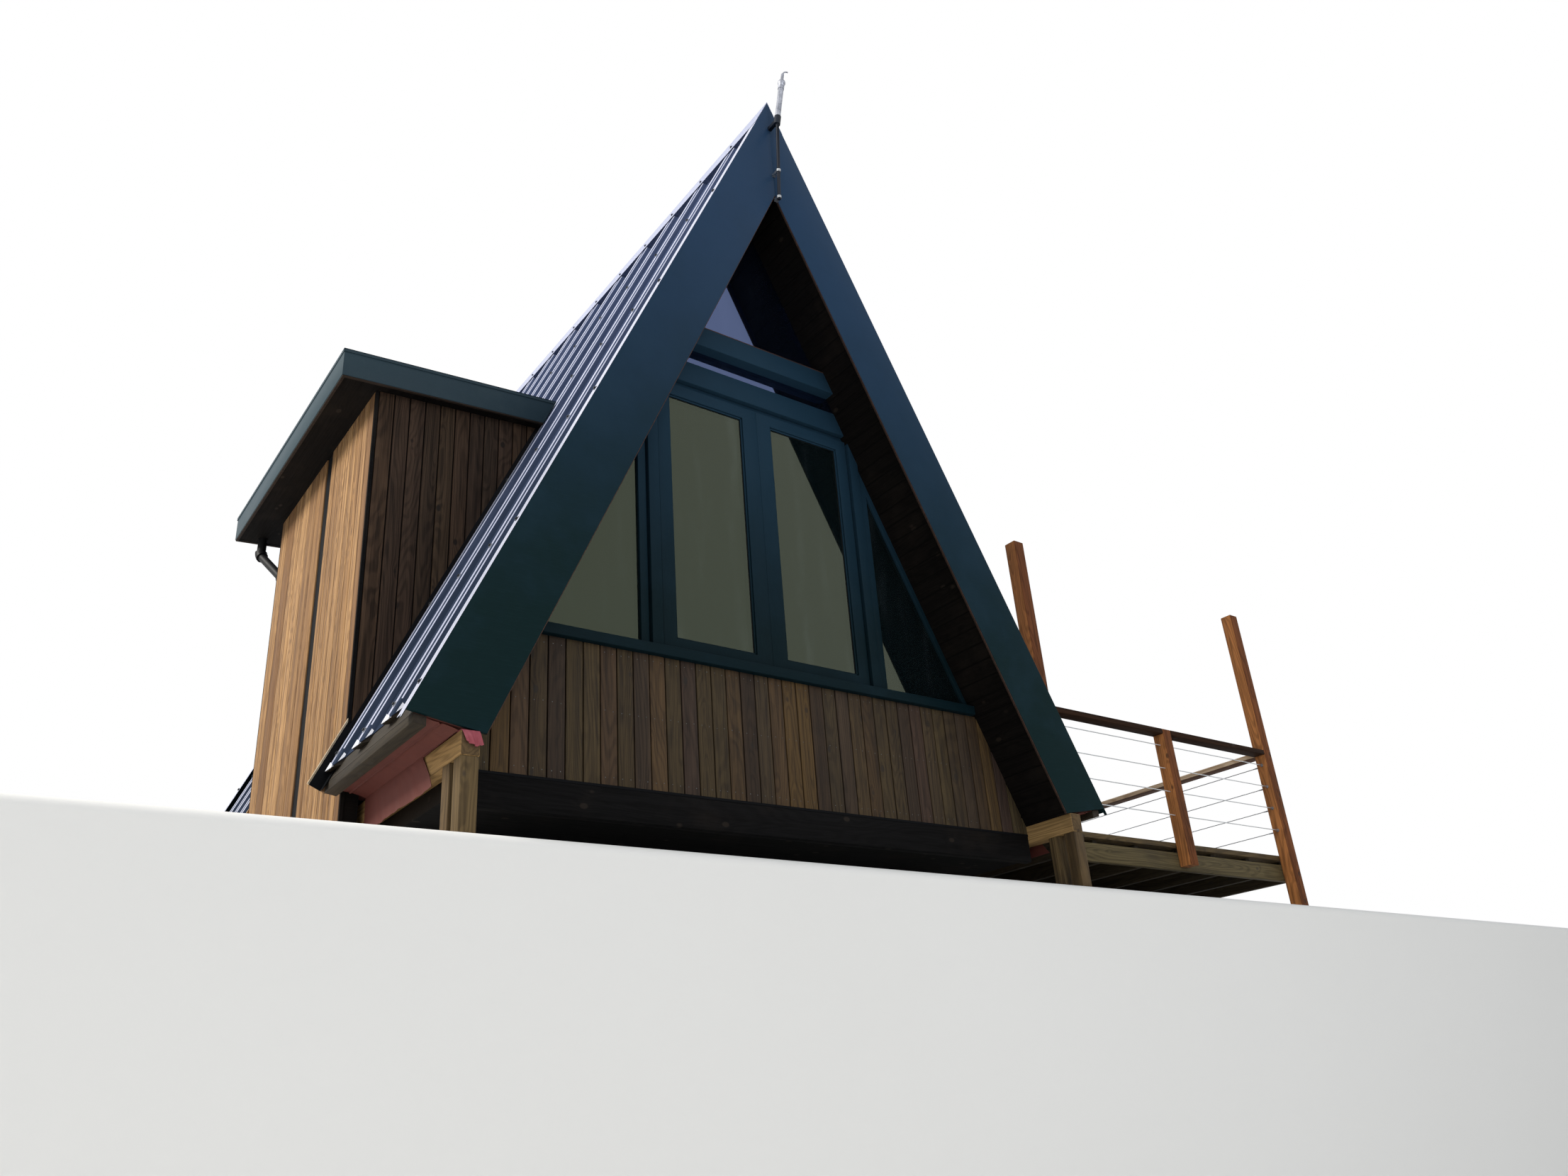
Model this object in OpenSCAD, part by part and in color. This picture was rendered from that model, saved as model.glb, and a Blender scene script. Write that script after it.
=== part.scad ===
// A-frame cabin with a side dormer and a timber deck.
// X runs along the front gable, Y runs from the front gable to the back one, Z is up.

/* [Gable] */
// Half the width across the feet of the roof, measured on its outer face
half_w = 2600; // [2200:50:3200]
// Height of the ridge above the feet of the roof
ridge_rise = 5525; // [4800:25:6200]
// Height of the feet of the roof above the ground
foot_h = 600; // [450:10:900]
// Length of the roof from the front barge boards to the back ones
roof_len = 6000; // [5200:50:8000]
// How far the roof projects in front of the gable walls
gable_reach = 425; // [300:5:700]

/* [Roof] */
// Depth of the roof from its outer face to the lining
roof_depth = 380; // [300:5:420]
// Width of a barge board across the slope
barge_w = 413; // [410:1:480]
// Thickness of a barge board
barge_t = 22; // [18:1:40]
// Width of the metal lap that each barge board has on the roof
lap_w = 90; // [60:5:140]
// Thickness of the metal lap
lap_t = 4; // [3:1:6]
// How far the inner corner of a barge board's foot hangs below the outer one
foot_drop = 73; // [40:1:120]
// Distance between two ribs of the roof sheet
rib_pitch = 460; // [380:10:600]
// Width of a rib at its crest
rib_crest = 126; // [90:2:170]
// Height of a rib
rib_h = 34; // [20:1:34]
// Width of a rib's sloping side, seen from above
rib_flank = 18; // [12:1:30]
// Distance from the front edge to the middle of the first rib
rib_first = 365; // [300:5:400]
// Thickness of the roof sheet
sheet_t = 4; // [3:1:5]
// How far the roof sheet runs past the foot of the roof
sheet_drip = 48; // [20:1:80]
// Width of each side of the ridge capping
cap_w = 190; // [150:5:260]
// Height of the timber under the ends of the sheet
batten_h = 50; // [30:1:60]
// Width of the timber under the ends of the sheet
batten_w = 70; // [50:1:90]

/* [Gable walls] */
// Thickness of the gable walls
wall_t = 140; // [100:5:200]
// Depth of the front wall's lower edge below the feet of the roof
clad_low = 130; // [100:5:180]
// Height of the window sill's top above the feet of the roof
sill_top = 797; // [700:1:900]
// Thickness of the window sill
sill_t = 69; // [50:1:80]
// How far the window sill projects
sill_out = 40; // [20:1:60]
// Gap between the casements' upper corners and the slopes of the lining
casement_gap = 5; // [3:1:40]
// Height of the head above the casements
head_h = 41; // [25:1:60]
// How far the head and the wings of the window posts lie behind the casements' faces
head_set = 24; // [10:1:50]
// Width of the posts beside the casements
window_post_w = 81; // [60:1:120]
// Groove on each side of a window post
post_gap = 12; // [6:1:20]
// Width of the upright stile of a side pane's frame
side_stile = 58; // [40:1:80]
// Width of the slanted member of a side pane's frame
side_rake = 40; // [25:1:60]
// Height of the lower beam's underside above the feet of the roof
beam_low_bot = 2871; // [2600:1:2950]
// Height of the lower beam
beam_low_h = 178; // [140:1:200]
// Height of the glass strip between the two beams
strip_h = 118; // [90:1:150]
// Height of the upper beam
beam_up_h = 167; // [140:1:200]
// How far the upper beam projects
beam_up_out = 81; // [40:1:110]
// Width of a casement's stile beside the window post
stile_out = 95; // [70:1:120]
// Width of a casement's stile where the two casements meet
stile_mid = 124; // [80:1:130]
// Height of a casement's upper rail
leaf_top_rail = 90; // [70:1:120]
// Height of a casement's lower rail
leaf_low_rail = 88; // [70:1:120]
// Thickness of a casement
casement_t = 68; // [50:1:80]
// Distance from the wall's face to the casements
casement_set = 20; // [0:1:50]
// Distance of the upper panes behind the gable's face
upper_set = 6; // [0:1:40]
// Thickness of the glazing
glass_t = 24; // [16:1:32]

/* [Floor] */
// Width of the sole beams
sole_w = 102; // [80:2:140]
// Height of the sole beams
sole_h = 131; // [100:1:160]
// Thickness of the floor
floor_t = 240; // [180:5:300]
// Height of the rim beams under the gable walls
rim_h = 200; // [120:5:240]
// Thickness of the rim beams
rim_t = 60; // [40:1:80]
// Width of a leg under a sole beam
leg_w = 95; // [80:1:120]
// Gap between the two legs at each end of a sole beam
leg_gap = 50; // [40:1:120]
// Number of single legs between the pairs
inner_legs = 2; // [1:1:3]
// Thickness of the floor boards
floor_board_t = 30; // [20:1:40]

/* [Dormer] */
// Distance from the front barge boards to the dormer's front wall
dormer_y = 1390; // [1200:10:1800]
// Length of the dormer along the roof
dormer_len = 2160; // [1800:10:2600]
// Distance of the dormer's side wall inside the foot of the roof
dormer_in = 137; // [60:1:220]
// Thickness of the dormer's walls
dormer_wall_t = 110; // [80:5:140]
// Height of the dormer roof's outer top edge above the feet of the roof
dormer_top = 2908; // [2600:1:3000]
// Height of the dormer's fascia boards
fascia_h = 200; // [150:1:240]
// Thickness of the dormer's fascia boards
fascia_t = 24; // [18:1:35]
// Rise of the dormer roof towards the ridge, in parts of a thousand
dormer_fall = 63; // [20:1:90]
// How far the dormer roof reaches past its front wall
dormer_front = 93; // [60:1:200]
// How far the dormer roof reaches past its side wall
dormer_side = 254; // [180:1:320]
// How far the dormer roof reaches past its back wall
dormer_back = 430; // [200:10:500]
// Outside diameter of the downpipe
pipe_d = 68; // [60:1:90]
// Outside diameter of the downpipe's elbows
elbow_d = 92; // [92:1:110]
// Bend radius of the downpipe's elbows
bend_r = 70; // [60:1:100]
// Straight length of downpipe above its upper elbow
pipe_drop = 120; // [60:5:200]
// Gap between the downpipe and the dormer's walls
pipe_gap = 30; // [12:1:30]
// Height of the downpipe's lower end above the roof sheet
pipe_end = 150; // [100:10:300]

/* [Mast] */
// Depth of the mast's foot below the ridge
mast_low = 290; // [200:5:400]
// Distance of the mast's foot from the barge boards' face
mast_out = 108; // [90:1:140]
// Outside diameter of the mast's tube
mast_d = 44; // [30:1:48]
// Length of the mast's tube
mast_len = 290; // [200:5:450]
// Lean of the mast, forwards and to the right
mast_lean = 9; // [0:1:15]
// Diameter of the collar on the mast
collar_d = 50; // [50:1:58]
// Height of the collar on the mast
collar_h = 46; // [30:2:80]
// Diameter of the mast's round head
bulb_d = 62; // [59:1:70]
// Diameter of the hook on the mast's head
hook_d = 12; // [8:1:16]
// Bend radius of the hook
hook_r = 60; // [30:1:60]
// Diameter of the coupling at the mast's foot
coupling_d = 54; // [50:1:60]
// Height of the coupling
coupling_h = 80; // [40:2:80]
// Outside diameter of the conduit below the mast
conduit_d = 26; // [20:1:34]
// Length of the conduit
conduit_len = 760; // [500:10:800]
// Distance of the conduit's lower end from the barge boards' face
conduit_out = 45; // [40:1:80]
// Width of the bracket's arm and of a clamp's foot
arm_w = 30; // [20:1:40]
// Height of a clamp
clamp_h = 22; // [14:1:30]
// Thickness of a clamp's ring
clamp_t = 5; // [3:1:8]
// Distance from the conduit's lower end to the first clamp
clamp_first = 20; // [15:1:60]
// Distance between the two clamps
clamp_step = 250; // [150:5:350]

/* [Deck] */
// Distance from the front barge boards to the deck's front beam
deck_y = 560; // [400:10:800]
// Distance from the middle of the cabin to the deck's outer side
deck_x = 5810; // [5000:10:6500]
// Depth of the deck from front to back
deck_len = 3200; // [2400:50:4200]
// Depth of the deck's top below the feet of the roof
deck_low = 0; // [0:5:60]
// Thickness of the decking
board_t = 45; // [35:1:55]
// Width of a deck board
board_w = 145; // [110:1:170]
// Gap between deck boards
board_gap = 6; // [4:1:9]
// Depth of the deck beams' top below the feet of the roof
beam_top_low = 85; // [85:1:120]
// Height of the deck beams
deck_beam_h = 147; // [130:1:200]
// Thickness of the deck beams
deck_beam_t = 50; // [40:1:70]
// Number of spaces between the deck joists
joists = 6; // [4:1:8]
// Depth of the grooves between the deck boards
groove = 12; // [6:1:20]
// Gap between the roof sheet's lower edge and the deck
deck_gap = 2; // [2:1:40]
// Height of the middle post's lower end above the deck beam's underside
mid_post_low = 25; // [0:5:60]
// Width of the deck posts
post_w = 110; // [90:1:140]
// Height of the tall post beside the cabin above the feet of the roof
tall_left_h = 2430; // [2200:10:2700]
// Height of the tall corner post above the feet of the roof
tall_corner_h = 2360; // [2100:10:2600]
// Distance from the middle of the cabin to the middle post's left face
mid_post_x = 4180; // [3800:10:4600]
// Height of the top rail above the feet of the roof
rail_top = 970; // [900:5:1100]
// Thickness of the top rail
rail_t = 45; // [35:1:60]
// Width of the side top rail
rail_w = 130; // [120:1:150]
// Diameter of the rail cables
cable_d = 8; // [6:1:12]
// Number of cables under each top rail
cable_count = 4; // [3:1:5]
// Distance between two cables
cable_step = 205; // [160:5:205]
// Distance from the top rail's top to the first cable
cable_first = 135; // [120:5:180]

/* [Hidden] */
slope = ridge_rise / half_w;
ang = atan(slope);
slope_len = norm([half_w, ridge_rise]);
dormer_x = half_w - dormer_in;
dorm_x_out = dormer_x + dormer_side;
rail_over = max(rail_w - post_w, 0);
bulb_z = mast_len + coupling_h / 2 + collar_h + bulb_d / 3;
mast_reach = mast_out + bulb_z * sin(mast_lean) * sin(45) + bulb_d / 2;
conduit_lean = asin((mast_out - conduit_out) / conduit_len);
mid_x = (deck_x + rail_over - dorm_x_out) / 2;
mid_y = (roof_len - mast_reach) / 2;
drop_run = half_w - (ridge_rise + foot_drop - barge_w / cos(ang)) / slope;
joint = 2;
panel_d = rib_h + sheet_t + lap_t + joint;
dormer_end = dormer_y + dormer_len;
beam_low_top = beam_low_bot + beam_low_h;
beam_up_bot = beam_low_top + strip_h;
beam_up_top = beam_up_bot + beam_up_h;
casement_top = beam_low_bot - head_h;
casement_half = half_at(casement_top, roof_depth) - casement_gap;
side_x = casement_half + window_post_w + 2 * post_gap;
pane_y = gable_reach + casement_set + (casement_t - glass_t) / 2;
deck_left = half_w + sheet_drip + deck_gap;
deck_end = deck_y + deck_len;

// Half the cabin's width at height z, at depth d inside the roof's outer face
function half_at(z, d) = (ridge_rise - z) / slope - d / sin(ang);
// Height at which the depth line d passes x, on either side of the middle
function height_at(x, d) = ridge_rise - d / cos(ang) - slope * x;
// Place on the foot line of a roof member at depth d
function foot_x(d) = half_w - drop_run * d / barge_w;
function foot_z(d) = -foot_drop * d / barge_w;
// Height of the dormer roof's top at a distance x left of the middle
function dormer_z(x) = dormer_top + (dorm_x_out - x) * dormer_fall / 1000;
// Distance left of the middle where the dormer roof's top, lowered by h, meets depth d
function dormer_meet(h, d) =
    (ridge_rise - d / cos(ang) - dormer_top - dorm_x_out * dormer_fall / 1000 + h)
    / (slope - dormer_fall / 1000);

// Moves a member from the cabin's own axes to the middle of the plan, at ground level
module place() {
    translate([-mid_x, -mid_y, foot_h]) children();
}

// Extrudes an outline drawn in X and Z along Y
module along_y(y0, y1) {
    translate([0, y1, 0]) rotate([90, 0, 0]) linear_extrude(y1 - y0) children();
}

// Puts a right-hand member on the left as well
module side(s) {
    if (s > 0) children();
    else mirror([1, 0, 0]) children();
}

// Outline of a right-hand roof member between two depths
module slope_band(d0, d1) {
    polygon([
        [foot_x(d0), foot_z(d0)],
        [0, ridge_rise - d0 / cos(ang)],
        [0, ridge_rise - d1 / cos(ang)],
        [foot_x(d1), foot_z(d1)]
    ]);
}

// Outline of the space inside the roof between two heights
module gable_area(z0, z1) {
    top = min(z1, ridge_rise - roof_depth / cos(ang));
    w0 = half_at(z0, roof_depth);
    w1 = max(half_at(top, roof_depth), 0);
    polygon(w1 > 0
        ? [[-w0, z0], [w0, z0], [w1, top], [-w1, top]]
        : [[-w0, z0], [w0, z0], [0, top]]);
}

// Left-hand runs of a roof layer: in front of the dormer, behind it and above it
module left_runs(y_front, y_back, y_end, z_cut) {
    intersection() {
        children();
        translate([-2 * half_w, -1, -half_w]) cube([2 * half_w, y_front + 1, 4 * half_w]);
    }
    intersection() {
        children();
        translate([-2 * half_w, y_back, -half_w])
            cube([2 * half_w, y_end - y_back + 1, 4 * half_w]);
    }
    intersection() {
        children();
        translate([-2 * half_w, y_front + joint, z_cut])
            cube([2 * half_w, y_back - y_front - 2 * joint, 4 * half_w]);
    }
}

module roof_left() {
    under = height_at(dormer_meet(fascia_h, panel_d), panel_d);
    color("#3a3128") place() difference() {
        left_runs(dormer_y + dormer_wall_t, dormer_end - dormer_wall_t, roof_len, under)
            side(-1) along_y(barge_t, roof_len - barge_t) slope_band(panel_d, roof_depth);
        translate([-2 * half_w, dormer_y, -half_w])
            cube([2 * half_w - dormer_x + dormer_wall_t, dormer_len, 2 * half_w]);
    }
}

module roof_right() {
    color("#3a3128") place()
        along_y(barge_t, roof_len - barge_t) slope_band(panel_d, roof_depth);
}

// Section of the ribbed sheet, with its length in X and its height in Y
module sheet_section(len) {
    n = floor((len - rib_first) / rib_pitch);
    half_c = rib_crest / 2;
    half_b = half_c + rib_flank;
    low = [for (i = [0 : n]) let (c = rib_first + i * rib_pitch) if (c + half_b < len - lap_w)
        each [[c - half_b, 0], [c - half_c, rib_h], [c + half_c, rib_h], [c + half_b, 0]]];
    m = len(low);
    in = sheet_t * tan(atan2(rib_h, rib_flank) / 2);
    high = [for (i = [0 : m - 1]) let (p = low[m - 1 - i], k = (m - 1 - i) % 4)
        [p[0] + (k < 2 ? -in : in), p[1] + sheet_t]];
    polygon(concat([[0, 0]], low, [[len, 0], [len, sheet_t]], high, [[0, sheet_t]]));
}

// Right-hand ribbed sheet, from its drip edge to just below the ridge
module ribbed_sheet() {
    run = slope_len + sheet_drip - (panel_d + sheet_t) * tan(ang);
    d0 = panel_d;
    translate([half_w + sheet_drip * cos(ang), 0, -sheet_drip * sin(ang)])
        rotate([0, ang - 90, 0])
            translate([-d0, barge_t, 0])
                rotate([0, 0, 90]) mirror([0, 1, 0])
                    linear_extrude(run) sheet_section(roof_len - 2 * barge_t);
}

module sheet_left() {
    over = height_at(dormer_meet(0, panel_d), panel_d) + joint;
    color("#3c4650") place()
        left_runs(dormer_y - joint, dormer_end + joint, roof_len, over)
            side(-1) ribbed_sheet();
}

module sheet_right() {
    color("#3c4650") place() ribbed_sheet();
}

module ridge_cap() {
    color("#3c4650") place() along_y(0, roof_len) polygon([
        [-cap_w * cos(ang), ridge_rise + lap_t / cos(ang) - cap_w * sin(ang)],
        [0, ridge_rise + lap_t / cos(ang)],
        [cap_w * cos(ang), ridge_rise + lap_t / cos(ang) - cap_w * sin(ang)],
        [cap_w * cos(ang), ridge_rise - cap_w * sin(ang)],
        [0, ridge_rise],
        [-cap_w * cos(ang), ridge_rise - cap_w * sin(ang)]
    ]);
}

// Barge board with its metal lap on the roof
module barge(s, back) {
    y0 = back ? roof_len - barge_t : 0;
    l0 = back ? roof_len - lap_w : 0;
    cap_drop = cap_w * sin(ang);
    color("#2b4a44") place() side(s) {
        along_y(y0, y0 + barge_t) slope_band(lap_t / 2, barge_w);
        along_y(l0, l0 + lap_w) polygon([
            [half_w + sheet_drip * cos(ang), -sheet_drip * sin(ang)],
            [half_at(ridge_rise - cap_drop, 0), ridge_rise - cap_drop],
            [half_at(ridge_rise - cap_drop, lap_t), ridge_rise - cap_drop],
            [half_w + sheet_drip * cos(ang) - lap_t / sin(ang), -sheet_drip * sin(ang)]
        ]);
    }
}

module barge_front_left() {
    barge(-1, false);
}

module barge_front_right() {
    barge(1, false);
}

module barge_back_left() {
    barge(-1, true);
}

module barge_back_right() {
    barge(1, true);
}

// Timber below the ends of the sheet
module eave_batten() {
    x0 = foot_x(panel_d);
    z0 = foot_z(panel_d);
    along_y(barge_t, roof_len - barge_t) polygon([
        [x0, z0],
        [x0 - batten_w, z0 + foot_z(batten_w)],
        [x0 - batten_w, z0 + foot_z(batten_w) - batten_h],
        [x0, z0 - batten_h]
    ]);
}

module eave_battens() {
    color("#7b6a4d") place() {
        eave_batten();
        difference() {
            side(-1) eave_batten();
            translate([-2 * half_w, dormer_y, -half_w])
                cube([2 * half_w, dormer_len, 2 * half_w]);
        }
    }
}

// Sole beams along both feet of the roof
module sole_beams() {
    color("#a99468") place() for (s = [-1, 1]) side(s)
        translate([foot_x(roof_depth), 0, foot_z(roof_depth) - sole_h])
            cube([sole_w, roof_len, sole_h]);
}

// Legs under both sole beams: a pair at each end and singles between them
module legs() {
    ends = [0, leg_w + leg_gap, roof_len - leg_w, roof_len - 2 * leg_w - leg_gap];
    inner = [for (i = [1 : inner_legs]) i * roof_len / (inner_legs + 1) - leg_w / 2];
    x0 = foot_x(roof_depth) + (sole_w - leg_w) / 2;
    color("#8a7a55") place() for (s = [-1, 1]) side(s)
        for (y = concat(ends, inner)) translate([x0, y, -foot_h])
            cube([leg_w, leg_w, foot_h + foot_z(roof_depth) - sole_h]);
}

// Floor boards on their cassette, reaching into the dormer over the left sole beam
module floor() {
    x0 = foot_x(roof_depth);
    x1 = dormer_x - dormer_wall_t;
    y0 = gable_reach + rim_t;
    yw = gable_reach + wall_t;
    top = foot_z(roof_depth);
    inside = half_at(top + floor_board_t, roof_depth);
    color("#9a7b52") place() {
        translate([-x0, y0, top - floor_t])
            cube([2 * x0, roof_len - 2 * y0, floor_t]);
        translate([0, 0, top - 1]) linear_extrude(floor_board_t + 1) {
            translate([-inside, yw]) square([2 * inside, roof_len - 2 * yw]);
            translate([-x1, dormer_y + dormer_wall_t])
                square([x1, dormer_len - 2 * dormer_wall_t]);
        }
    }
}

// Rim beams under both gable walls
module rim_beams() {
    color("#2c2622") place() for (y = [gable_reach, roof_len - gable_reach - rim_t])
        translate([-foot_x(roof_depth), y, -clad_low - rim_h])
            cube([2 * foot_x(roof_depth), rim_t, rim_h]);
}

module front_wall() {
    color("#5b4836") place()
        along_y(gable_reach, gable_reach + wall_t)
            intersection() {
                gable_area(-clad_low, sill_top - sill_t);
                translate([-foot_x(roof_depth), -clad_low])
                    square([2 * foot_x(roof_depth), sill_top]);
            }
}

module window_sill() {
    w = half_at(sill_top, roof_depth);
    color("#24403a") place()
        translate([-w, gable_reach - sill_out, sill_top - sill_t])
            cube([2 * w, wall_t + sill_out, sill_t]);
}

// Window posts with wings that close the grooves beside them
module window_posts() {
    back = casement_set + casement_t;
    wing = post_gap + stile_out / 3;
    x0 = casement_half + post_gap;
    color("#24403a") place() for (s = [-1, 1]) side(s)
        intersection() {
            translate([0, gable_reach, sill_top]) linear_extrude(beam_low_bot - sill_top)
                polygon([
                    [x0, 0],
                    [x0 + window_post_w, 0],
                    [x0 + window_post_w, back],
                    [x0 + window_post_w + wing, back],
                    [x0 + window_post_w + wing, wall_t],
                    [x0 - wing, wall_t],
                    [x0 - wing, back],
                    [x0, back]
                ]);
            along_y(gable_reach - 1, gable_reach + wall_t + 1)
                gable_area(sill_top, casement_top);
        }
}

// Recessed head between the casements and the lower beam
module window_head() {
    color("#1c2a27") place()
        along_y(gable_reach + casement_set + head_set, gable_reach + wall_t)
            gable_area(casement_top, beam_low_bot);
}

module casement(s) {
    h = casement_top - sill_top;
    color("#24403a") place() side(s)
        translate([0, gable_reach + casement_set, sill_top]) difference() {
            cube([casement_half, casement_t, h]);
            translate([stile_mid, -1, leaf_low_rail])
                cube([
                    casement_half - stile_mid - stile_out,
                    casement_t + 2,
                    h - leaf_low_rail - leaf_top_rail
                ]);
        }
}

module casement_left() {
    casement(-1);
}

module casement_right() {
    casement(1);
}

module casement_glass() {
    w = casement_half - stile_mid - stile_out;
    h = casement_top - sill_top - leaf_low_rail - leaf_top_rail;
    color("#5a6b70", 0.6) place() for (s = [-1, 1]) side(s)
        translate([stile_mid, pane_y, sill_top + leaf_low_rail]) cube([w, glass_t, h]);
}

// Outline of a side pane, inset from its upright and its slanted edge
module side_area(upright, rake) {
    x0 = side_x + upright;
    d = roof_depth + rake;
    polygon([
        [x0, sill_top],
        [half_at(sill_top, d), sill_top],
        [x0, height_at(x0, d)]
    ]);
}

// Frames of the side panes: an upright stile and a member along the slope
module side_frames() {
    y0 = gable_reach + casement_set;
    color("#24403a") place() for (s = [-1, 1]) side(s)
        along_y(y0, y0 + casement_t) difference() {
            side_area(0, 0);
            side_area(side_stile, side_rake);
        }
}

// Fixed panes: beside the casements, between the beams and below the ridge
module fixed_glass() {
    upper_y = gable_reach + upper_set;
    color("#5a6b70", 0.6) place() {
        along_y(pane_y, pane_y + glass_t)
            for (s = [-1, 1]) side(s) side_area(side_stile, side_rake);
        along_y(upper_y, upper_y + glass_t) {
            gable_area(beam_low_top, beam_up_bot);
            gable_area(beam_up_top, ridge_rise);
        }
    }
}

module beam_lower() {
    color("#24403a") place()
        along_y(gable_reach, gable_reach + wall_t)
            gable_area(beam_low_bot, beam_low_top);
}

module beam_upper() {
    color("#24403a") place()
        along_y(gable_reach - beam_up_out, gable_reach + wall_t)
            gable_area(beam_up_bot, beam_up_top);
}

module back_wall() {
    y1 = roof_len - gable_reach;
    color("#5b4836") place() along_y(y1 - wall_t, y1) intersection() {
        gable_area(-clad_low, ridge_rise);
        translate([-foot_x(roof_depth), -clad_low])
            square([2 * foot_x(roof_depth), ridge_rise + clad_low]);
    }
}

// Outline of a dormer end wall, outside the roof
module dormer_end_area() {
    x0 = dormer_x - dormer_wall_t;
    x1 = dormer_meet(fascia_h, panel_d);
    polygon([
        [-x0, dormer_z(x0) - fascia_h],
        [-x1, height_at(x1, panel_d)],
        [-x0, height_at(x0, panel_d)]
    ]);
}

module dormer_front_wall() {
    color("#4e4034") place()
        along_y(dormer_y, dormer_y + dormer_wall_t) dormer_end_area();
}

module dormer_back_wall() {
    color("#4e4034") place()
        along_y(dormer_end - dormer_wall_t, dormer_end) dormer_end_area();
}

module dormer_side_wall() {
    x0 = dormer_x - dormer_wall_t;
    color("#a8845a") place() along_y(dormer_y, dormer_end) polygon([
        [-dormer_x, -foot_h],
        [-dormer_x, dormer_z(dormer_x) - fascia_h],
        [-x0, dormer_z(x0) - fascia_h],
        [-x0, -foot_h]
    ]);
}

// Outline of the dormer roof, scribed to the main roof at depth d
module dormer_roof_area(d) {
    x0 = dorm_x_out - fascia_t;
    xa = dormer_meet(0, d);
    xb = dormer_meet(fascia_h, d);
    polygon([
        [-x0, dormer_z(x0) - fascia_h],
        [-x0, dormer_z(x0)],
        [-xa, height_at(xa, d)],
        [-xb, height_at(xb, d)]
    ]);
}

module dormer_roof() {
    y0 = dormer_y - dormer_front + fascia_t;
    y1 = dormer_end + dormer_back - fascia_t;
    color("#33383c") place() {
        along_y(y0, y1) dormer_roof_area(0);
        along_y(dormer_y, dormer_end) dormer_roof_area(panel_d);
    }
}

module dormer_fascia() {
    xa = dormer_meet(0, 0);
    xb = dormer_meet(fascia_h, 0);
    y0 = dormer_y - dormer_front;
    y1 = dormer_end + dormer_back;
    color("#2b4a44") place() {
        for (y = [y0, y1 - fascia_t])
            along_y(y, y + fascia_t) polygon([
                [-dorm_x_out, dormer_top - fascia_h],
                [-dorm_x_out, dormer_top],
                [-xa, height_at(xa, 0)],
                [-xb, height_at(xb, 0)]
            ]);
        translate([-dorm_x_out, y0, dormer_top - fascia_h])
            cube([fascia_t, y1 - y0, fascia_h]);
    }
}

// Downpipe from the back corner of the dormer roof, with two elbows
// that bring it in to the dormer's back wall
module downpipe() {
    x0 = dormer_x + pipe_d / 2 + pipe_gap;
    x1 = dormer_x - pipe_d / 2 - pipe_gap;
    y0 = dormer_end + dormer_back - fascia_t - pipe_d;
    y1 = dormer_end + pipe_d / 2 + pipe_gap;
    z0 = dormer_z(x0) - fascia_h;
    z1 = z0 - pipe_drop;
    reach = norm([x0 - x1, y0 - y1]);
    bend_in = bend_r * (1 - cos(45));
    run = reach - 2 * bend_in;
    z2 = z1 - 2 * bend_r * sin(45) - run;
    low = height_at(x1 - elbow_d / 2, 0) + panel_d / cos(ang) + pipe_end;
    color("#1d1d1e") place() translate([-x0, y0, 0]) rotate([0, 0, atan2(y1 - y0, x0 - x1)]) {
        translate([0, 0, z1 - 5]) cylinder(h = z0 - z1 + 5, d = pipe_d, $fn = 48);
        translate([bend_r, 0, z1]) rotate([90, 0, 0])
            rotate_extrude(angle = 45, start = 180, $fn = 48)
                translate([bend_r, 0]) circle(d = elbow_d);
        translate([bend_in, 0, z1 - bend_r * sin(45)]) rotate([0, 135, 0])
            translate([0, 0, -5]) cylinder(h = run * sqrt(2) + 10, d = pipe_d, $fn = 48);
        translate([reach - bend_r, 0, z2]) rotate([90, 0, 0])
            rotate_extrude(angle = 45, start = 0, $fn = 48)
                translate([bend_r, 0]) circle(d = elbow_d);
        translate([reach, 0, low]) cylinder(h = z2 - low + 5, d = pipe_d, $fn = 48);
    }
}

// Moves a piece to the mast's foot, with Z along the mast
module at_mast() {
    place() translate([0, -mast_out, ridge_rise - mast_low])
        rotate(a = mast_lean, v = [1, 1, 0]) children();
}

// Moves a piece to the top of the conduit, with Z along the conduit
module at_conduit() {
    place() translate([0, -mast_out, ridge_rise - mast_low])
        rotate([conduit_lean, 0, 0]) children();
}

// Mast: tube, collar, round head, stem and hook
module mast() {
    color("#9aa3a8") at_mast() {
        translate([0, 0, coupling_h / 2]) cylinder(h = mast_len, d = mast_d, $fn = 32);
        translate([0, 0, coupling_h / 2 + mast_len - 1])
            cylinder(h = collar_h + bulb_d / 3, d = collar_d, $fn = 32);
        translate([0, 0, bulb_z]) sphere(d = bulb_d, $fn = 32);
        translate([0, 0, bulb_z]) cylinder(h = 1.5 * bulb_d, d = collar_d / 2, $fn = 32);
        translate([hook_r, 0, bulb_z + 1.4 * bulb_d]) rotate([90, 0, 0])
            rotate_extrude(angle = -75, start = 180, $fn = 48)
                translate([hook_r, 0]) circle(d = hook_d);
    }
}

// Conduit with the coupling and the arm that hold the mast's foot
module conduit() {
    color("#20262b") {
        at_conduit() translate([0, 0, -conduit_len]) cylinder(h = conduit_len, d = conduit_d, $fn = 32);
        at_mast() translate([0, 0, -coupling_h / 2]) cylinder(h = coupling_h, d = coupling_d, $fn = 32);
        place() translate([-arm_w / 2, -mast_out, ridge_rise - mast_low - arm_w / 2])
            cube([arm_w, mast_out, arm_w]);
    }
}

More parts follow.
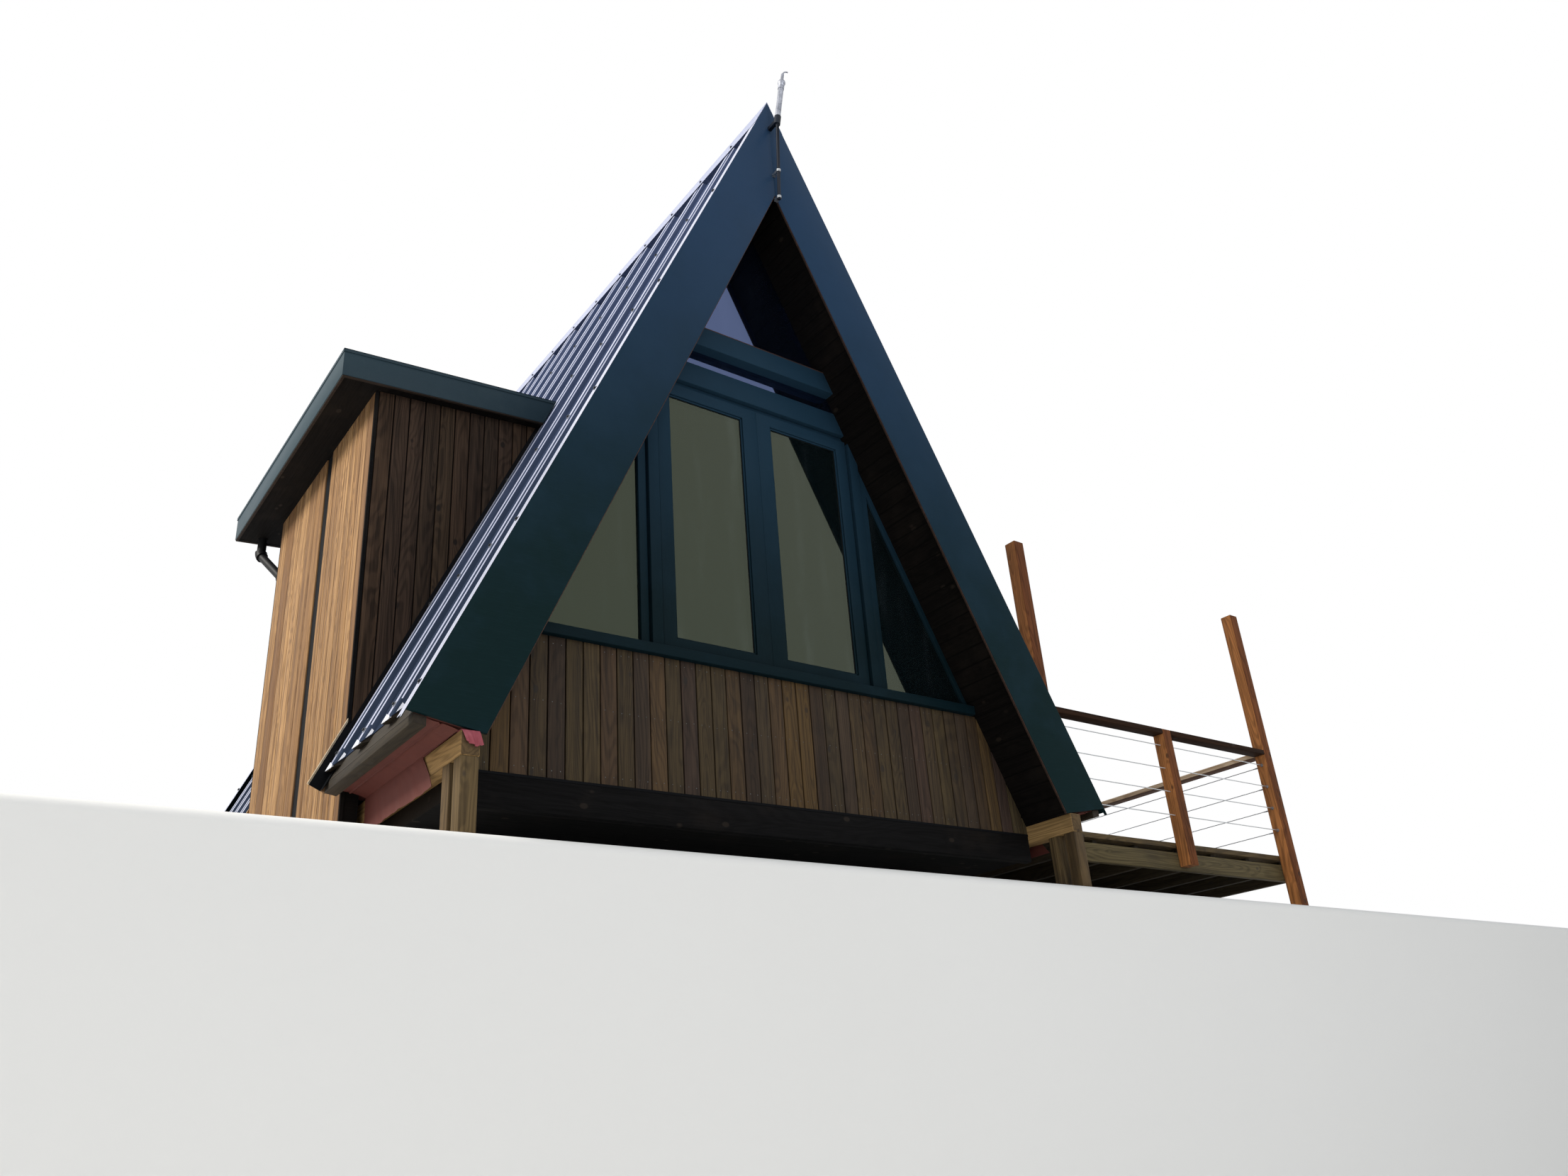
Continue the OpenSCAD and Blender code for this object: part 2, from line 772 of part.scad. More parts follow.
// Clamps that hold the conduit to the barge boards
module mast_clamps() {
    ring_d = conduit_d + 2 * clamp_t;
    color("#c3c8cb") for (i = [0 : 1]) {
        s = clamp_first + i * clamp_step;
        y = conduit_out + s * sin(conduit_lean);
        z = ridge_rise - mast_low - (conduit_len - s) * cos(conduit_lean);
        difference() {
            union() {
                at_conduit() translate([0, 0, s - conduit_len - clamp_h / 2])
                    cylinder(h = clamp_h, d = ring_d, $fn = 32);
                place() translate([-arm_w / 2, -y, z - clamp_h / 2])
                    cube([arm_w, y, clamp_h]);
            }
            at_conduit() translate([0, 0, s - conduit_len - clamp_h])
                cylinder(h = 2 * clamp_h, d = conduit_d, $fn = 32);
        }
    }
}

module deck_beams() {
    z0 = -beam_top_low - deck_beam_h;
    color("#6f6243") place() for (y = [deck_y, deck_end - deck_beam_t])
        translate([deck_left, y, z0]) cube([deck_x - deck_left, deck_beam_t, deck_beam_h]);
}

module deck_joists() {
    z0 = -beam_top_low - deck_beam_h;
    h = -deck_low - board_t - z0;
    y0 = deck_y + deck_beam_t;
    color("#6f6243") place() for (i = [0 : joists])
        translate([deck_left + i * (deck_x - deck_left - deck_beam_t) / joists, y0, z0])
            cube([deck_beam_t, deck_len - 2 * deck_beam_t, h]);
}

// Decking with a groove between its boards
module decking() {
    n = round((deck_len + board_gap) / (board_w + board_gap));
    pitch = (deck_len + board_gap) / n;
    w = deck_x - deck_left;
    color("#8a7350") place() translate([deck_left, deck_y, -deck_low - board_t]) difference() {
        cube([w, deck_len, board_t]);
        for (i = [1 : n - 1]) translate([-1, i * pitch - board_gap, board_t - groove])
            cube([w + 2, board_gap, groove + 1]);
    }
}

module deck_post_left() {
    color("#9c6236") place()
        translate([deck_left, deck_y - post_w, -foot_h])
            cube([post_w, post_w, foot_h + tall_left_h]);
}

module deck_post_mid() {
    z0 = -beam_top_low - deck_beam_h + mid_post_low;
    color("#7a5a3c") place()
        translate([mid_post_x, deck_y - post_w, z0])
            cube([post_w, post_w, rail_top - z0]);
}

module deck_post_corner() {
    color("#9c6236") place()
        translate([deck_x - post_w, deck_y - post_w, -foot_h])
            cube([post_w, post_w, foot_h + tall_corner_h]);
}

module deck_post_back() {
    color("#7a5a3c") place()
        translate([deck_x - post_w, deck_end, -foot_h])
            cube([post_w, post_w, foot_h + rail_top - rail_t]);
}

// Front top rail, in two lengths between the posts
module rail_front() {
    x0 = deck_left + post_w;
    x1 = mid_post_x + post_w;
    color("#3d2c22") place() translate([0, deck_y - post_w, rail_top - rail_t]) {
        translate([x0, 0, 0]) cube([mid_post_x - x0, post_w, rail_t]);
        translate([x1, 0, 0]) cube([deck_x - post_w - x1, post_w, rail_t]);
    }
}

module rail_side() {
    color("#8a6440") place()
        translate([deck_x - post_w, deck_y, rail_top - rail_t])
            cube([rail_w, deck_len + post_w, rail_t]);
}

// Wire ropes under both top rails
module rail_cables() {
    color("#b9bdc0") place() for (i = [0 : cable_count - 1]) {
        z = rail_top - cable_first - i * cable_step;
        translate([deck_left + post_w, deck_y - post_w / 2, z]) rotate([0, 90, 0])
            cylinder(h = deck_x - deck_left - 2 * post_w, d = cable_d, $fn = 16);
        translate([deck_x - post_w / 2, deck_y, z]) rotate([-90, 0, 0])
            cylinder(h = deck_len, d = cable_d, $fn = 16);
    }
}

floor();
sole_beams();
legs();
rim_beams();
roof_left();
roof_right();
sheet_left();
sheet_right();
ridge_cap();
barge_front_left();
barge_front_right();
barge_back_left();
barge_back_right();
eave_battens();
front_wall();
window_sill();
window_posts();
window_head();
side_frames();
casement_left();
casement_right();
casement_glass();
fixed_glass();
beam_lower();
beam_upper();
back_wall();
dormer_front_wall();
dormer_side_wall();
dormer_back_wall();
dormer_roof();
dormer_fascia();
downpipe();
mast();
conduit();
mast_clamps();
deck_beams();
deck_joists();
decking();
deck_post_left();
deck_post_mid();
deck_post_corner();
deck_post_back();
rail_front();
rail_side();
rail_cables();
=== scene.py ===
"""Looks of an A-frame cabin with a side dormer and a timber deck.

Lengths are metres in the cabin's own axes: X from the middle of the front
gable, Y from the barge boards' front face, Z from the feet of the roof.
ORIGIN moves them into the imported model's frame.
"""

import logging
import math
import random
from dataclasses import dataclass, replace
from enum import Enum
from typing import Callable, Iterable, Sequence

import bmesh
import bpy
from mathutils import Matrix, Vector


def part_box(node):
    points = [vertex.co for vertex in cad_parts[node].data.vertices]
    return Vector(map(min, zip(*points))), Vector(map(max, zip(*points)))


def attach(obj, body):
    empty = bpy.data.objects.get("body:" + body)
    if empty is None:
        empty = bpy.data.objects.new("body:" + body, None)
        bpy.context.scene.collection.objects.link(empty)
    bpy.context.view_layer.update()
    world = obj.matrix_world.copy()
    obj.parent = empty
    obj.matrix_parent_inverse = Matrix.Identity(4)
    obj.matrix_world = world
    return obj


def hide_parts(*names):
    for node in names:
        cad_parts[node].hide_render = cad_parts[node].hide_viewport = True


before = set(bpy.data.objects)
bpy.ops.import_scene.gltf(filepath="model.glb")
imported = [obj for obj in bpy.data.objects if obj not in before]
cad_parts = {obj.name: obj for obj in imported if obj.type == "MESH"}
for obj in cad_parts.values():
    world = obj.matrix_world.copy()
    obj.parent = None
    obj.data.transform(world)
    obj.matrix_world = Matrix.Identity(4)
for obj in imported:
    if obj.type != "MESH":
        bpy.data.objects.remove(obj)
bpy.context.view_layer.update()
LOG = logging.getLogger("cabin")

BODY = "root"
CAP_LOW, CAP_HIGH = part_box("ridge_cap")
# How far the barge boards hang below the feet of the roof.
FOOT_DROP = 0.073
ORIGIN = Vector(((CAP_LOW.x + CAP_HIGH.x) / 2, CAP_LOW.y,
                 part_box("barge_front_left")[0].z + FOOT_DROP))

Colour = tuple[float, float, float, float]
Cut = tuple[Vector, Vector]
Pair = tuple[float, float]
Outline = tuple[Pair, ...]
Socket = bpy.types.NodeSocket
Shape = bmesh.types.BMesh
Face = bmesh.types.BMFace
Edge = bmesh.types.BMEdge
Material = bpy.types.Material
Piece = bpy.types.Object

SIDES = {-1: "left", 1: "right"}
ACROSS = Vector((1.0, 0.0, 0.0))
ALONG = Vector((0.0, 1.0, 0.0))
ABOVE = Vector((0.0, 0.0, 1.0))
# Faces that would lie in one plane are kept this far apart.
HAIR = 0.001
# Edges that turn by more than this are rounded.
SHARP = math.radians(25.0)
# Two directions with a dot product above this run alike.
ALIGNED = 0.99
# A node's loose triangles are merged and flattened within these.
MERGE_WITHIN = 2e-5
FLAT_WITHIN = math.radians(0.6)


def colour(code: str) -> Colour:
    """Turn a written colour into the shader's own scale.

    Args:
        code: Six hexadecimal digits, as a paint shop's screen shows them.

    Returns:
        Red, green and blue on the linear scale, and an alpha of 1.
    """
    parts = [int(code[i : i + 2], 16) / 255 for i in (0, 2, 4)]
    line = (p / 12.92 if p <= 0.04045 else ((p + 0.055) / 1.055) ** 2.4 for p in parts)
    return (*line, 1.0)


class Level:
    """A number on a shader socket, with its sums written as Python operators."""

    def __init__(self, bench: "Bench", socket: Socket) -> None:
        """Hold the socket and the bench that it belongs to."""
        self.bench = bench
        self.socket = socket

    def _sum(self, operation: str, *values: "Level | float", clamp: bool = False) -> "Level":
        """Add one Math node.

        Args:
            operation: The Math node's operation.
            values: Its inputs in order.
            clamp: Whether the answer stays between 0 and 1.

        Returns:
            The answer.
        """
        settings = {"operation": operation, "use_clamp": clamp}
        made = self.bench.node("ShaderNodeMath", settings, dict(enumerate(values)))
        return Level(self.bench, made.outputs[0])

    def __add__(self, other: "Level | float") -> "Level":
        """Sum."""
        return self._sum("ADD", self, other)

    def __sub__(self, other: "Level | float") -> "Level":
        """Difference."""
        return self._sum("SUBTRACT", self, other)

    def __rsub__(self, other: float) -> "Level":
        """Difference from a plain number."""
        return self._sum("SUBTRACT", other, self)

    def __mul__(self, other: "Level | float") -> "Level":
        """Product."""
        return self._sum("MULTIPLY", self, other)

    def __truediv__(self, other: "Level | float") -> "Level":
        """Quotient."""
        return self._sum("DIVIDE", self, other)

    __radd__ = __add__
    __rmul__ = __mul__

    def sine(self) -> "Level":
        """Sine of an angle in radians."""
        return self._sum("SINE", self)

    def size(self) -> "Level":
        """Size without its sign."""
        return self._sum("ABSOLUTE", self)

    def fraction(self) -> "Level":
        """Part after the decimal point."""
        return self._sum("FRACT", self)

    def held(self) -> "Level":
        """Same number held between 0 and 1."""
        return self._sum("ADD", self, 0.0, clamp=True)

    def most(self, other: "Level | float") -> "Level":
        """Larger of the two."""
        return self._sum("MAXIMUM", self, other)

    def rise(self, low: float, high: float) -> "Level":
        """Go smoothly from 0 at low to 1 at high, or down again where low is larger.

        Args:
            low: Value that gives 0.
            high: Value that gives 1.

        Returns:
            The smooth step.
        """
        inputs = {"Value": self, "From Min": min(low, high), "From Max": max(low, high),
                  "To Min": float(low > high), "To Max": float(low <= high)}
        settings = {"interpolation_type": "SMOOTHSTEP"}
        made = self.bench.node("ShaderNodeMapRange", settings, inputs)
        return Level(self.bench, made.outputs[0])


class Bench:
    """One material or world being put together."""

    def __init__(self, owner: bpy.types.World | str) -> None:
        """Start an empty node tree.

        Args:
            owner: World, or the name of a new material.
        """
        self.owner = bpy.data.materials.new(owner) if isinstance(owner, str) else owner
        self.owner.use_nodes = True
        self.tree = self.owner.node_tree
        self.tree.nodes.clear()
        self._place: Socket | None = None

    def node(self, kind: str, settings: dict[str, object] | None = None,
             inputs: dict[str | int, object] | None = None) -> bpy.types.Node:
        """Add a node.

        Args:
            kind: Blender's name of the node type.
            settings: Its own settings, set first. "stops" fills a colour ramp.
            inputs: Values, levels or sockets for its inputs.

        Returns:
            The new node.
        """
        made = self.tree.nodes.new(kind)
        for key, value in (settings or {}).items():
            if key == "stops":
                ramp = made.color_ramp
                while len(ramp.elements) < len(value):
                    ramp.elements.new(0.5)
                for stop, (position, shade) in zip(ramp.elements, value):
                    stop.position, stop.color = position, shade
            else:
                setattr(made, key, value)
        for key, value in (inputs or {}).items():
            source = value.socket if isinstance(value, Level) else value
            if isinstance(source, Socket):
                self.tree.links.new(source, made.inputs[key])
            else:
                made.inputs[key].default_value = source
        return made

    def place(self) -> Socket:
        """Object coordinates, in metres.

        Returns:
            The vector, from one node for the whole material.
        """
        if self._place is None:
            self._place = self.node("ShaderNodeTexCoord").outputs["Object"]
        return self._place

    def axes(self, vector: Socket) -> list[Level]:
        """Three parts of a vector as levels."""
        made = self.node("ShaderNodeSeparateXYZ", None, {0: vector})
        return [Level(self, out) for out in made.outputs]

    def joined(self, x: object, y: object, z: object) -> Socket:
        """Vector from three levels or numbers."""
        return self.node("ShaderNodeCombineXYZ", None, {0: x, 1: y, 2: z}).outputs[0]

    def vector(self, operation: str, first: object, second: object) -> Socket:
        """Sum, product or other join of two vectors."""
        settings = {"operation": operation}
        return self.node("ShaderNodeVectorMath", settings, {0: first, 1: second}).outputs[0]

    def scaled(self, vector: Socket, by: Sequence[float]) -> Socket:
        """Vector with each of its parts multiplied."""
        return self.vector("MULTIPLY", vector, tuple(by))

    def normal(self) -> list[Level]:
        """Three parts of the surface's own direction."""
        return self.axes(self.node("ShaderNodeNewGeometry").outputs["Normal"])

    def tone(self) -> Level:
        """Number from 0 to 1 that each board carries."""
        settings = {"attribute_type": "GEOMETRY", "attribute_name": "tone"}
        return Level(self, self.node("ShaderNodeAttribute", settings).outputs["Fac"])

    def moved(self, tone: Level) -> Socket:
        """Object coordinates moved by a board's tone, so that no two boards match."""
        shift = self.joined(*(tone * far for far in (31.7, -23.3, 41.9)))
        return self.vector("ADD", self.place(), shift)

    def noise(self, vector: Socket, scale: float, detail: float, rough: float,
              bend: float = 0.0) -> Level:
        """Noise value.

        Args:
            vector: Where to read it.
            scale: Grains to a metre.
            detail: Octaves.
            rough: Strength of the finer octaves.
            bend: Distortion.

        Returns:
            The noise, mostly between 0.3 and 0.7.
        """
        inputs = {"Vector": vector, "Scale": scale, "Detail": detail, "Roughness": rough}
        inputs["Distortion"] = bend
        return Level(self, self.node("ShaderNodeTexNoise", None, inputs).outputs[0])

    def cells(self, vector: Socket, scale: float) -> tuple[Level, Level]:
        """Scatter of points.

        Args:
            vector: Where to read it.
            scale: Points to a metre.

        Returns:
            Distance to the nearest point, and that point's own number from 0 to 1.
        """
        made = self.node("ShaderNodeTexVoronoi", None, {"Vector": vector, "Scale": scale})
        own = self.axes(made.outputs["Color"])[0]
        return Level(self, made.outputs["Distance"]), own

    def ramp(self, value: Level, stops: Sequence[tuple[float, Colour]]) -> Socket:
        """Colour that a level picks from a row of stops."""
        return self.node("ShaderNodeValToRGB", {"stops": stops}, {0: value}).outputs[0]

    def blend(self, share: object, first: Socket | str, second: str) -> Socket:
        """Mix two colours.

        Args:
            share: Share of the second colour, a level or a number.
            first: Socket, or a colour's code.
            second: Colour's code.

        Returns:
            The mixed colour.
        """
        settings = {"data_type": "RGBA", "blend_type": "MIX", "clamp_factor": True}
        start = colour(first) if isinstance(first, str) else first
        inputs = {0: share, 6: start, 7: colour(second)}
        return self.node("ShaderNodeMix", settings, inputs).outputs[2]

    def finish(self, base: object, rough: object, height: Level | None = None,
               depth: float = 0.001, strength: float = 0.5,
               **fixed: float | Colour) -> Material:
        """Close the material with its main shader.

        Args:
            base: Base colour.
            rough: Roughness.
            height: Relief for the bump, if there is any.
            depth: Height of the relief in metres.
            strength: How strongly the relief shows.
            fixed: Values of the shader's other sockets, with spaces as underscores.

        Returns:
            The finished material.
        """
        inputs: dict[str | int, object] = {"Base Color": base, "Roughness": rough}
        for key, value in fixed.items():
            inputs[key.replace("_", " ")] = value
        if height is not None:
            relief = {"Height": height, "Distance": depth, "Strength": strength}
            inputs["Normal"] = self.node("ShaderNodeBump", None, relief).outputs[0]
        shader = self.node("ShaderNodeBsdfPrincipled", None, inputs)
        self.node("ShaderNodeOutputMaterial", None, {0: shader.outputs[0]})
        return self.owner


class Grain(Enum):
    """Axis that the fibres of a board follow."""

    X = 0
    Y = 1
    Z = 2

    def drawn(self, share: float) -> list[float]:
        """Scale that draws a pattern out along this axis."""
        return [share if axis is self else 1.0 for axis in Grain]


@dataclass(frozen=True)
class Timber:
    """Sawn timber: growth rings, fibres, knots, a tone for each board and weathering."""

    name: str
    tones: tuple[str, ...]
    deep: str
    grain: Grain = Grain.Z
    figure: float = 0.4
    streaks: float = 0.9
    knots: float = 0.7
    stain: str = "2b2520"
    weather: float = 0.3
    ends: float = 0.55
    rough: float = 0.72
    groove: float = 0.0
    gloss: float = 0.22
    knot_scale: float = 8.5
    ring_scale: float = 5.5
    ring_count: float = 150.0
    fibre_scale: float = 170.0
    streak_scale: float = 34.0
    patch_scale: float = 1.9
    gap: str = "0b0a09"

    def make(self) -> Material:
        """Mix the finish.

        Returns:
            Its material.
        """
        b = Bench(self.name)
        tone = b.tone()
        place = b.moved(tone)
        fine = b.scaled(place, self.grain.drawn(0.02))
        gap, own = b.cells(b.scaled(place, self.grain.drawn(0.62)), self.knot_scale)
        some = own.rise(0.35, 0.5)
        knot = gap.rise(0.17, 0.1) * some * self.knots
        wander = b.noise(b.scaled(place, self.grain.drawn(0.1)), self.ring_scale, 1.5, 0.4)
        angle = wander * self.ring_count + gap.rise(0.5, 0.05) * some * 5.0
        rings = (angle.sine() * 0.5 + 0.5).rise(0.25, 1.0)
        fibre = b.noise(fine, self.fibre_scale, 3.0, 0.62)
        broad = b.noise(fine, self.streak_scale, 2.0, 0.5)
        last = max(len(self.tones) - 1, 1)
        board = b.ramp(tone, [(i / last, colour(code)) for i, code in enumerate(self.tones)])
        lines = (fibre.rise(0.36, 0.72) + broad.rise(0.4, 0.7)) * (self.streaks * 0.5)
        base = b.blend((rings * self.figure + lines).held() * 0.8, board, self.deep)
        wet = b.noise(b.place(), self.patch_scale, 4.0, 0.6).rise(0.48, 0.72) * self.weather
        end = b.normal()[self.grain.value].size().rise(0.75, 0.95) * self.ends
        for share in (wet, end, knot):
            base = b.blend(share, base, self.stain)
        relief = fibre * 0.6 + rings * 0.25 - knot * 0.4
        if self.groove:
            up = b.axes(b.place())[2] / self.groove
            line = (up.fraction() - 0.5).size().rise(0.42, 0.49)
            base = b.blend(line, base, self.gap)
            relief = relief - line * 4.0
        rough = fibre * 0.2 + (self.rough - 0.08) + knot * -0.12
        return b.finish(base, rough, relief, 0.0014, 0.55, Specular_IOR_Level=self.gloss)


@dataclass(frozen=True)
class Paint:
    """Painted joinery: brush marks, a paler bloom of dust, and a paler, bluer colour higher up
    that is painted reflection of the sky.
    """

    name: str
    body: str
    bloom: str
    # Colour of the painted sky reflection, blended in higher up.
    high: str
    grain: Grain = Grain.X
    rough: float = 0.4
    sheen_heights: Pair = (0.6, 6.0)
    gloss: float = 0.22
    dust: float = 0.4
    brush_scale: float = 230.0
    wood_scale: float = 24.0
    cloud_scale: float = 2.3

    def make(self) -> Material:
        """Mix the finish.

        Returns:
            Its material.
        """
        b = Bench(self.name)
        tone = b.tone()
        place = b.moved(tone)
        marks = b.noise(b.scaled(place, self.grain.drawn(0.04)), self.brush_scale, 2.0, 0.6)
        under = b.noise(b.scaled(place, self.grain.drawn(0.08)), self.wood_scale, 3.0, 0.5)
        cloud = b.noise(b.place(), self.cloud_scale, 4.0, 0.62)
        height = b.axes(b.place())[2]
        # Painted reflection of the sky, stronger with height, with a cloudy mottle.
        sheen_and_mottle = height.rise(*self.sheen_heights) * 0.85 + (cloud - 0.5) * 0.35
        base = b.blend(sheen_and_mottle.held(), self.body, self.high)
        dusty = b.normal()[2].rise(0.3, 0.95) * self.dust + cloud.rise(0.52, 0.75) * 0.1
        brushed = marks.rise(0.45, 0.75) * 0.1 + tone * 0.06
        for share in (dusty, brushed):
            base = b.blend(share.held(), base, self.bloom)
        rough = marks * 0.16 + cloud * 0.14 + (self.rough - 0.15)
        relief = marks * 0.5 + under * 0.8
        return b.finish(base, rough, relief, 0.0012, 0.35, Specular_IOR_Level=self.gloss)


@dataclass(frozen=True)
class Steel:
    """Painted steel sheet: run-off streaks, slight waves, a pale bloom and, where a high colour is
    given, a paler colour higher up that is painted reflection of the sky.
    """

    name: str
    body: str
    bloom: str
    # Colour of the painted sky reflection, blended in higher up; none where empty.
    high: str = ""
    rough: float = 0.34
    waves: float = 0.5
    sheen_heights: Pair = (0.6, 6.0)
    gloss: float = 0.3
    cloud_scale: float = 1.6
    speck_scale: float = 420.0

    def make(self) -> Material:
        """Mix the finish.

        Returns:
            Its material.
        """
        b = Bench(self.name)
        _, y, z = b.axes(b.place())
        streak = b.noise(b.joined(y * 26.0, z * 0.9, y * 3.0), 1.0, 4.0, 0.6)
        cloud = b.noise(b.place(), self.cloud_scale, 4.0, 0.6)
        speck = b.noise(b.place(), self.speck_scale, 1.0, 0.5)
        base: Socket | str = self.body
        if self.high:
            # Painted reflection of the sky, stronger with height, with a cloudy mottle.
            sheen_and_mottle = z.rise(*self.sheen_heights) + (cloud - 0.5) * 0.4
            base = b.blend(sheen_and_mottle.held(), base, self.high)
        soft = streak.rise(0.46, 0.78) * 0.34 + cloud.rise(0.5, 0.8) * 0.2
        base = b.blend(soft.held(), base, self.bloom)
        base = b.blend(speck.rise(0.66, 0.8) * 0.18, base, self.bloom)
        rough = streak * 0.2 + cloud * 0.12 + (self.rough - 0.16)
        wave = b.noise(b.scaled(b.place(), (1.0, 2.4, 0.8)), 1.7, 1.0, 0.4)
        relief = wave * 6.0 * self.waves + speck * 0.05
        return b.finish(base, rough, relief, 0.003, 0.3, Specular_IOR_Level=self.gloss)


@dataclass(frozen=True)
class Glazing:
    """Double glazing: dark, see-through and strongly reflecting, with a tint that paints a colour
    into the reflection.
    """

    name: str
    body: str = "0a1214"
    dust: str = "6f7c84"
    clear: float = 0.8
    # Tint of the reflection, a painted reflection colour.
    sky: str = "b2bea0"
    index: float = 2.1
    film_scale: float = 1.4

    def make(self) -> Material:
        """Mix the finish.

        Returns:
            Its material.
        """
        b = Bench(self.name)
        film = b.noise(b.scaled(b.place(), (5.0, 0.0, 0.8)), self.film_scale, 5.0, 0.6)
        dirt = film.rise(0.5, 0.85) * 0.1
        base = b.blend(dirt, self.body, self.dust)
        # The specular tint paints a colour into the reflection.
        tint = {"Alpha": dirt + self.clear, "Specular_Tint": colour(self.sky)}
        return b.finish(base, dirt * 0.5 + 0.02, **tint, IOR=self.index)


@dataclass(frozen=True)
class Felt:
    """Roofing felt or underlay: matt, mottled and slightly creased."""

    name: str
    body: str
    bloom: str
    mineral: float = 0.5
    rough: float = 0.82
    grit_scale: float = 620.0
    crease_scale: float = 9.0
    cloud_scale: float = 2.1

    def make(self) -> Material:
        """Mix the finish.

        Returns:
            Its material.
        """
        b = Bench(self.name)
        grit = b.noise(b.place(), self.grit_scale, 2.0, 0.7)
        crease = b.noise(b.place(), self.crease_scale, 4.0, 0.55, 0.6)
        cloud = b.noise(b.place(), self.cloud_scale, 4.0, 0.6)
        share = cloud.rise(0.42, 0.75) * 0.45 + crease.rise(0.5, 0.7) * 0.2
        share = share + grit.rise(0.5, 0.8) * self.mineral * 0.5
        base = b.blend(share.held(), self.body, self.bloom)
        relief = grit * self.mineral + crease * 1.6
        return b.finish(base, grit * 0.15 + (self.rough - 0.08), relief, 0.002, 0.5)


@dataclass(frozen=True)
class Zinc:
    """Galvanised steel: spangles, dull patches and a metal sheen."""

    name: str
    body: str = "8d949b"
    glint_start: str = "62686e"
    rough: float = 0.42
    spangle_scale: float = 95.0
    cloud_scale: float = 14.0

    def make(self) -> Material:
        """Mix the finish.

        Returns:
            Its material.
        """
        b = Bench(self.name)
        gap, own = b.cells(b.place(), self.spangle_scale)
        cloud = b.noise(b.place(), self.cloud_scale, 4.0, 0.6)
        share = own * 0.45 + cloud.rise(0.45, 0.75) * 0.5
        base = b.blend(share.held(), self.body, self.glint_start)
        rough = own * 0.16 + cloud * 0.2 + (self.rough - 0.15)
        return b.finish(base, rough, gap * 0.4 + cloud, 0.0006, 0.3, Metallic=0.85)


@dataclass(frozen=True)
class Plastic:
    """Moulded black plastic with faint handling marks and dust."""

    name: str
    body: str = "131416"
    dust: str = "55565a"
    rough: float = 0.38
    cloud_scale: float = 7.0
    drawn_scale: tuple[float, float, float] = (90.0, 90.0, 3.0)

    def make(self) -> Material:
        """Mix the finish.

        Returns:
            Its material.
        """
        b = Bench(self.name)
        cloud = b.noise(b.place(), self.cloud_scale, 4.0, 0.6)
        drawn = b.noise(b.scaled(b.place(), self.drawn_scale), 1.0, 3.0, 0.6)
        dusty = b.normal()[2].rise(0.2, 0.9) * 0.35 + cloud.rise(0.5, 0.8) * 0.18
        share = dusty + drawn.rise(0.55, 0.8) * 0.1
        base = b.blend(share.held(), self.body, self.dust)
        return b.finish(base, cloud * 0.25 + (self.rough - 0.1), drawn, 0.0004, 0.3,
                        Specular_IOR_Level=0.25)


@dataclass(frozen=True)
class WireRope:
    """Stranded stainless rope: a twisted lay in the bump, with painted shade in the lay's grooves.
    """

    name: str
    body: str = "e6e9ec"
    shade: str = "a2a6aa"
    along: Grain = Grain.X
    lay_along: float = 420.0
    lay_round: float = 500.0
    cloud_scale: float = 12.0

    def make(self) -> Material:
        """Mix the finish.

        Returns:
            Its material.
        """
        b = Bench(self.name)
        x, y, z = b.axes(b.place())
        length, side = (x, y) if self.along is Grain.X else (y, x)
        lay = (length * self.lay_along + (z + side) * self.lay_round).sine() * 0.5 + 0.5
        cloud = b.noise(b.place(), self.cloud_scale, 3.0, 0.6)
        # Darker in the lay's grooves: painted shade.
        share = lay.rise(0.5, 0.0) * 0.7 + cloud * 0.25
        base = b.blend(share.held(), self.body, self.shade)
        return b.finish(base, cloud * 0.2 + 0.3, lay, 0.0008, 0.6, Metallic=0.4)


@dataclass(frozen=True)
class Studio:
    """Plain pale floor that fades to the white of the background."""

    name: str = "studio_floor"
    body: str = "eeedea"
    patch: str = "e7e6e2"
    rough: float = 0.85
    patch_scale: float = 0.35
    grit_scale: float = 70.0

    def make(self) -> Material:
        """Mix the finish.

        Returns:
            Its material.
        """
        b = Bench(self.name)
        cloud = b.noise(b.place(), self.patch_scale, 3.0, 0.5)
        base = b.blend(cloud.rise(0.3, 0.8) * 0.2, self.body, self.patch)
        grit = b.noise(b.place(), self.grit_scale, 2.0, 0.5)
        return b.finish(base, self.rough, grit, 0.0006, 0.2)


MADE: dict[object, Material] = {}


def material(finish: object) -> Material:
    """Material of a finish, made the first time that it is asked for.

    Args:
        finish: One of the finishes below.

    Returns:
        Its material.
    """
    if finish not in MADE:
        MADE[finish] = finish.make()
    return MADE[finish]


# The roof steel's third colour is painted reflection of the sky, blended in with height.
ROOF_STEEL = Steel("roof_steel", "2b3444", "57607a", "3c4763", rough=0.62, gloss=0.0)
# Near white and pale blue: painted highlights on the rib folds and the crest bends.
FOLD_PAINTED_HIGHLIGHT = Steel("sheet_folds", "e3e6f0", "f0f1f6", rough=0.45, waves=0.1)
BEND_PAINTED_HIGHLIGHT = Steel("roof_bends", "a9aec4", "cfd2e2", rough=0.4, waves=0.1)
# Capping and barge laps: the sheet's paint lightened as painted sunlight.
CAP_PAINTED_LIGHT = Steel("cap_steel", "a0a6be", "b8bdd1", rough=0.45, waves=0.1, gloss=0.2)
LAP_PAINTED_LIGHT = Steel("trim_steel", "b0b4c6", "ccced9", rough=0.4, waves=0.1)
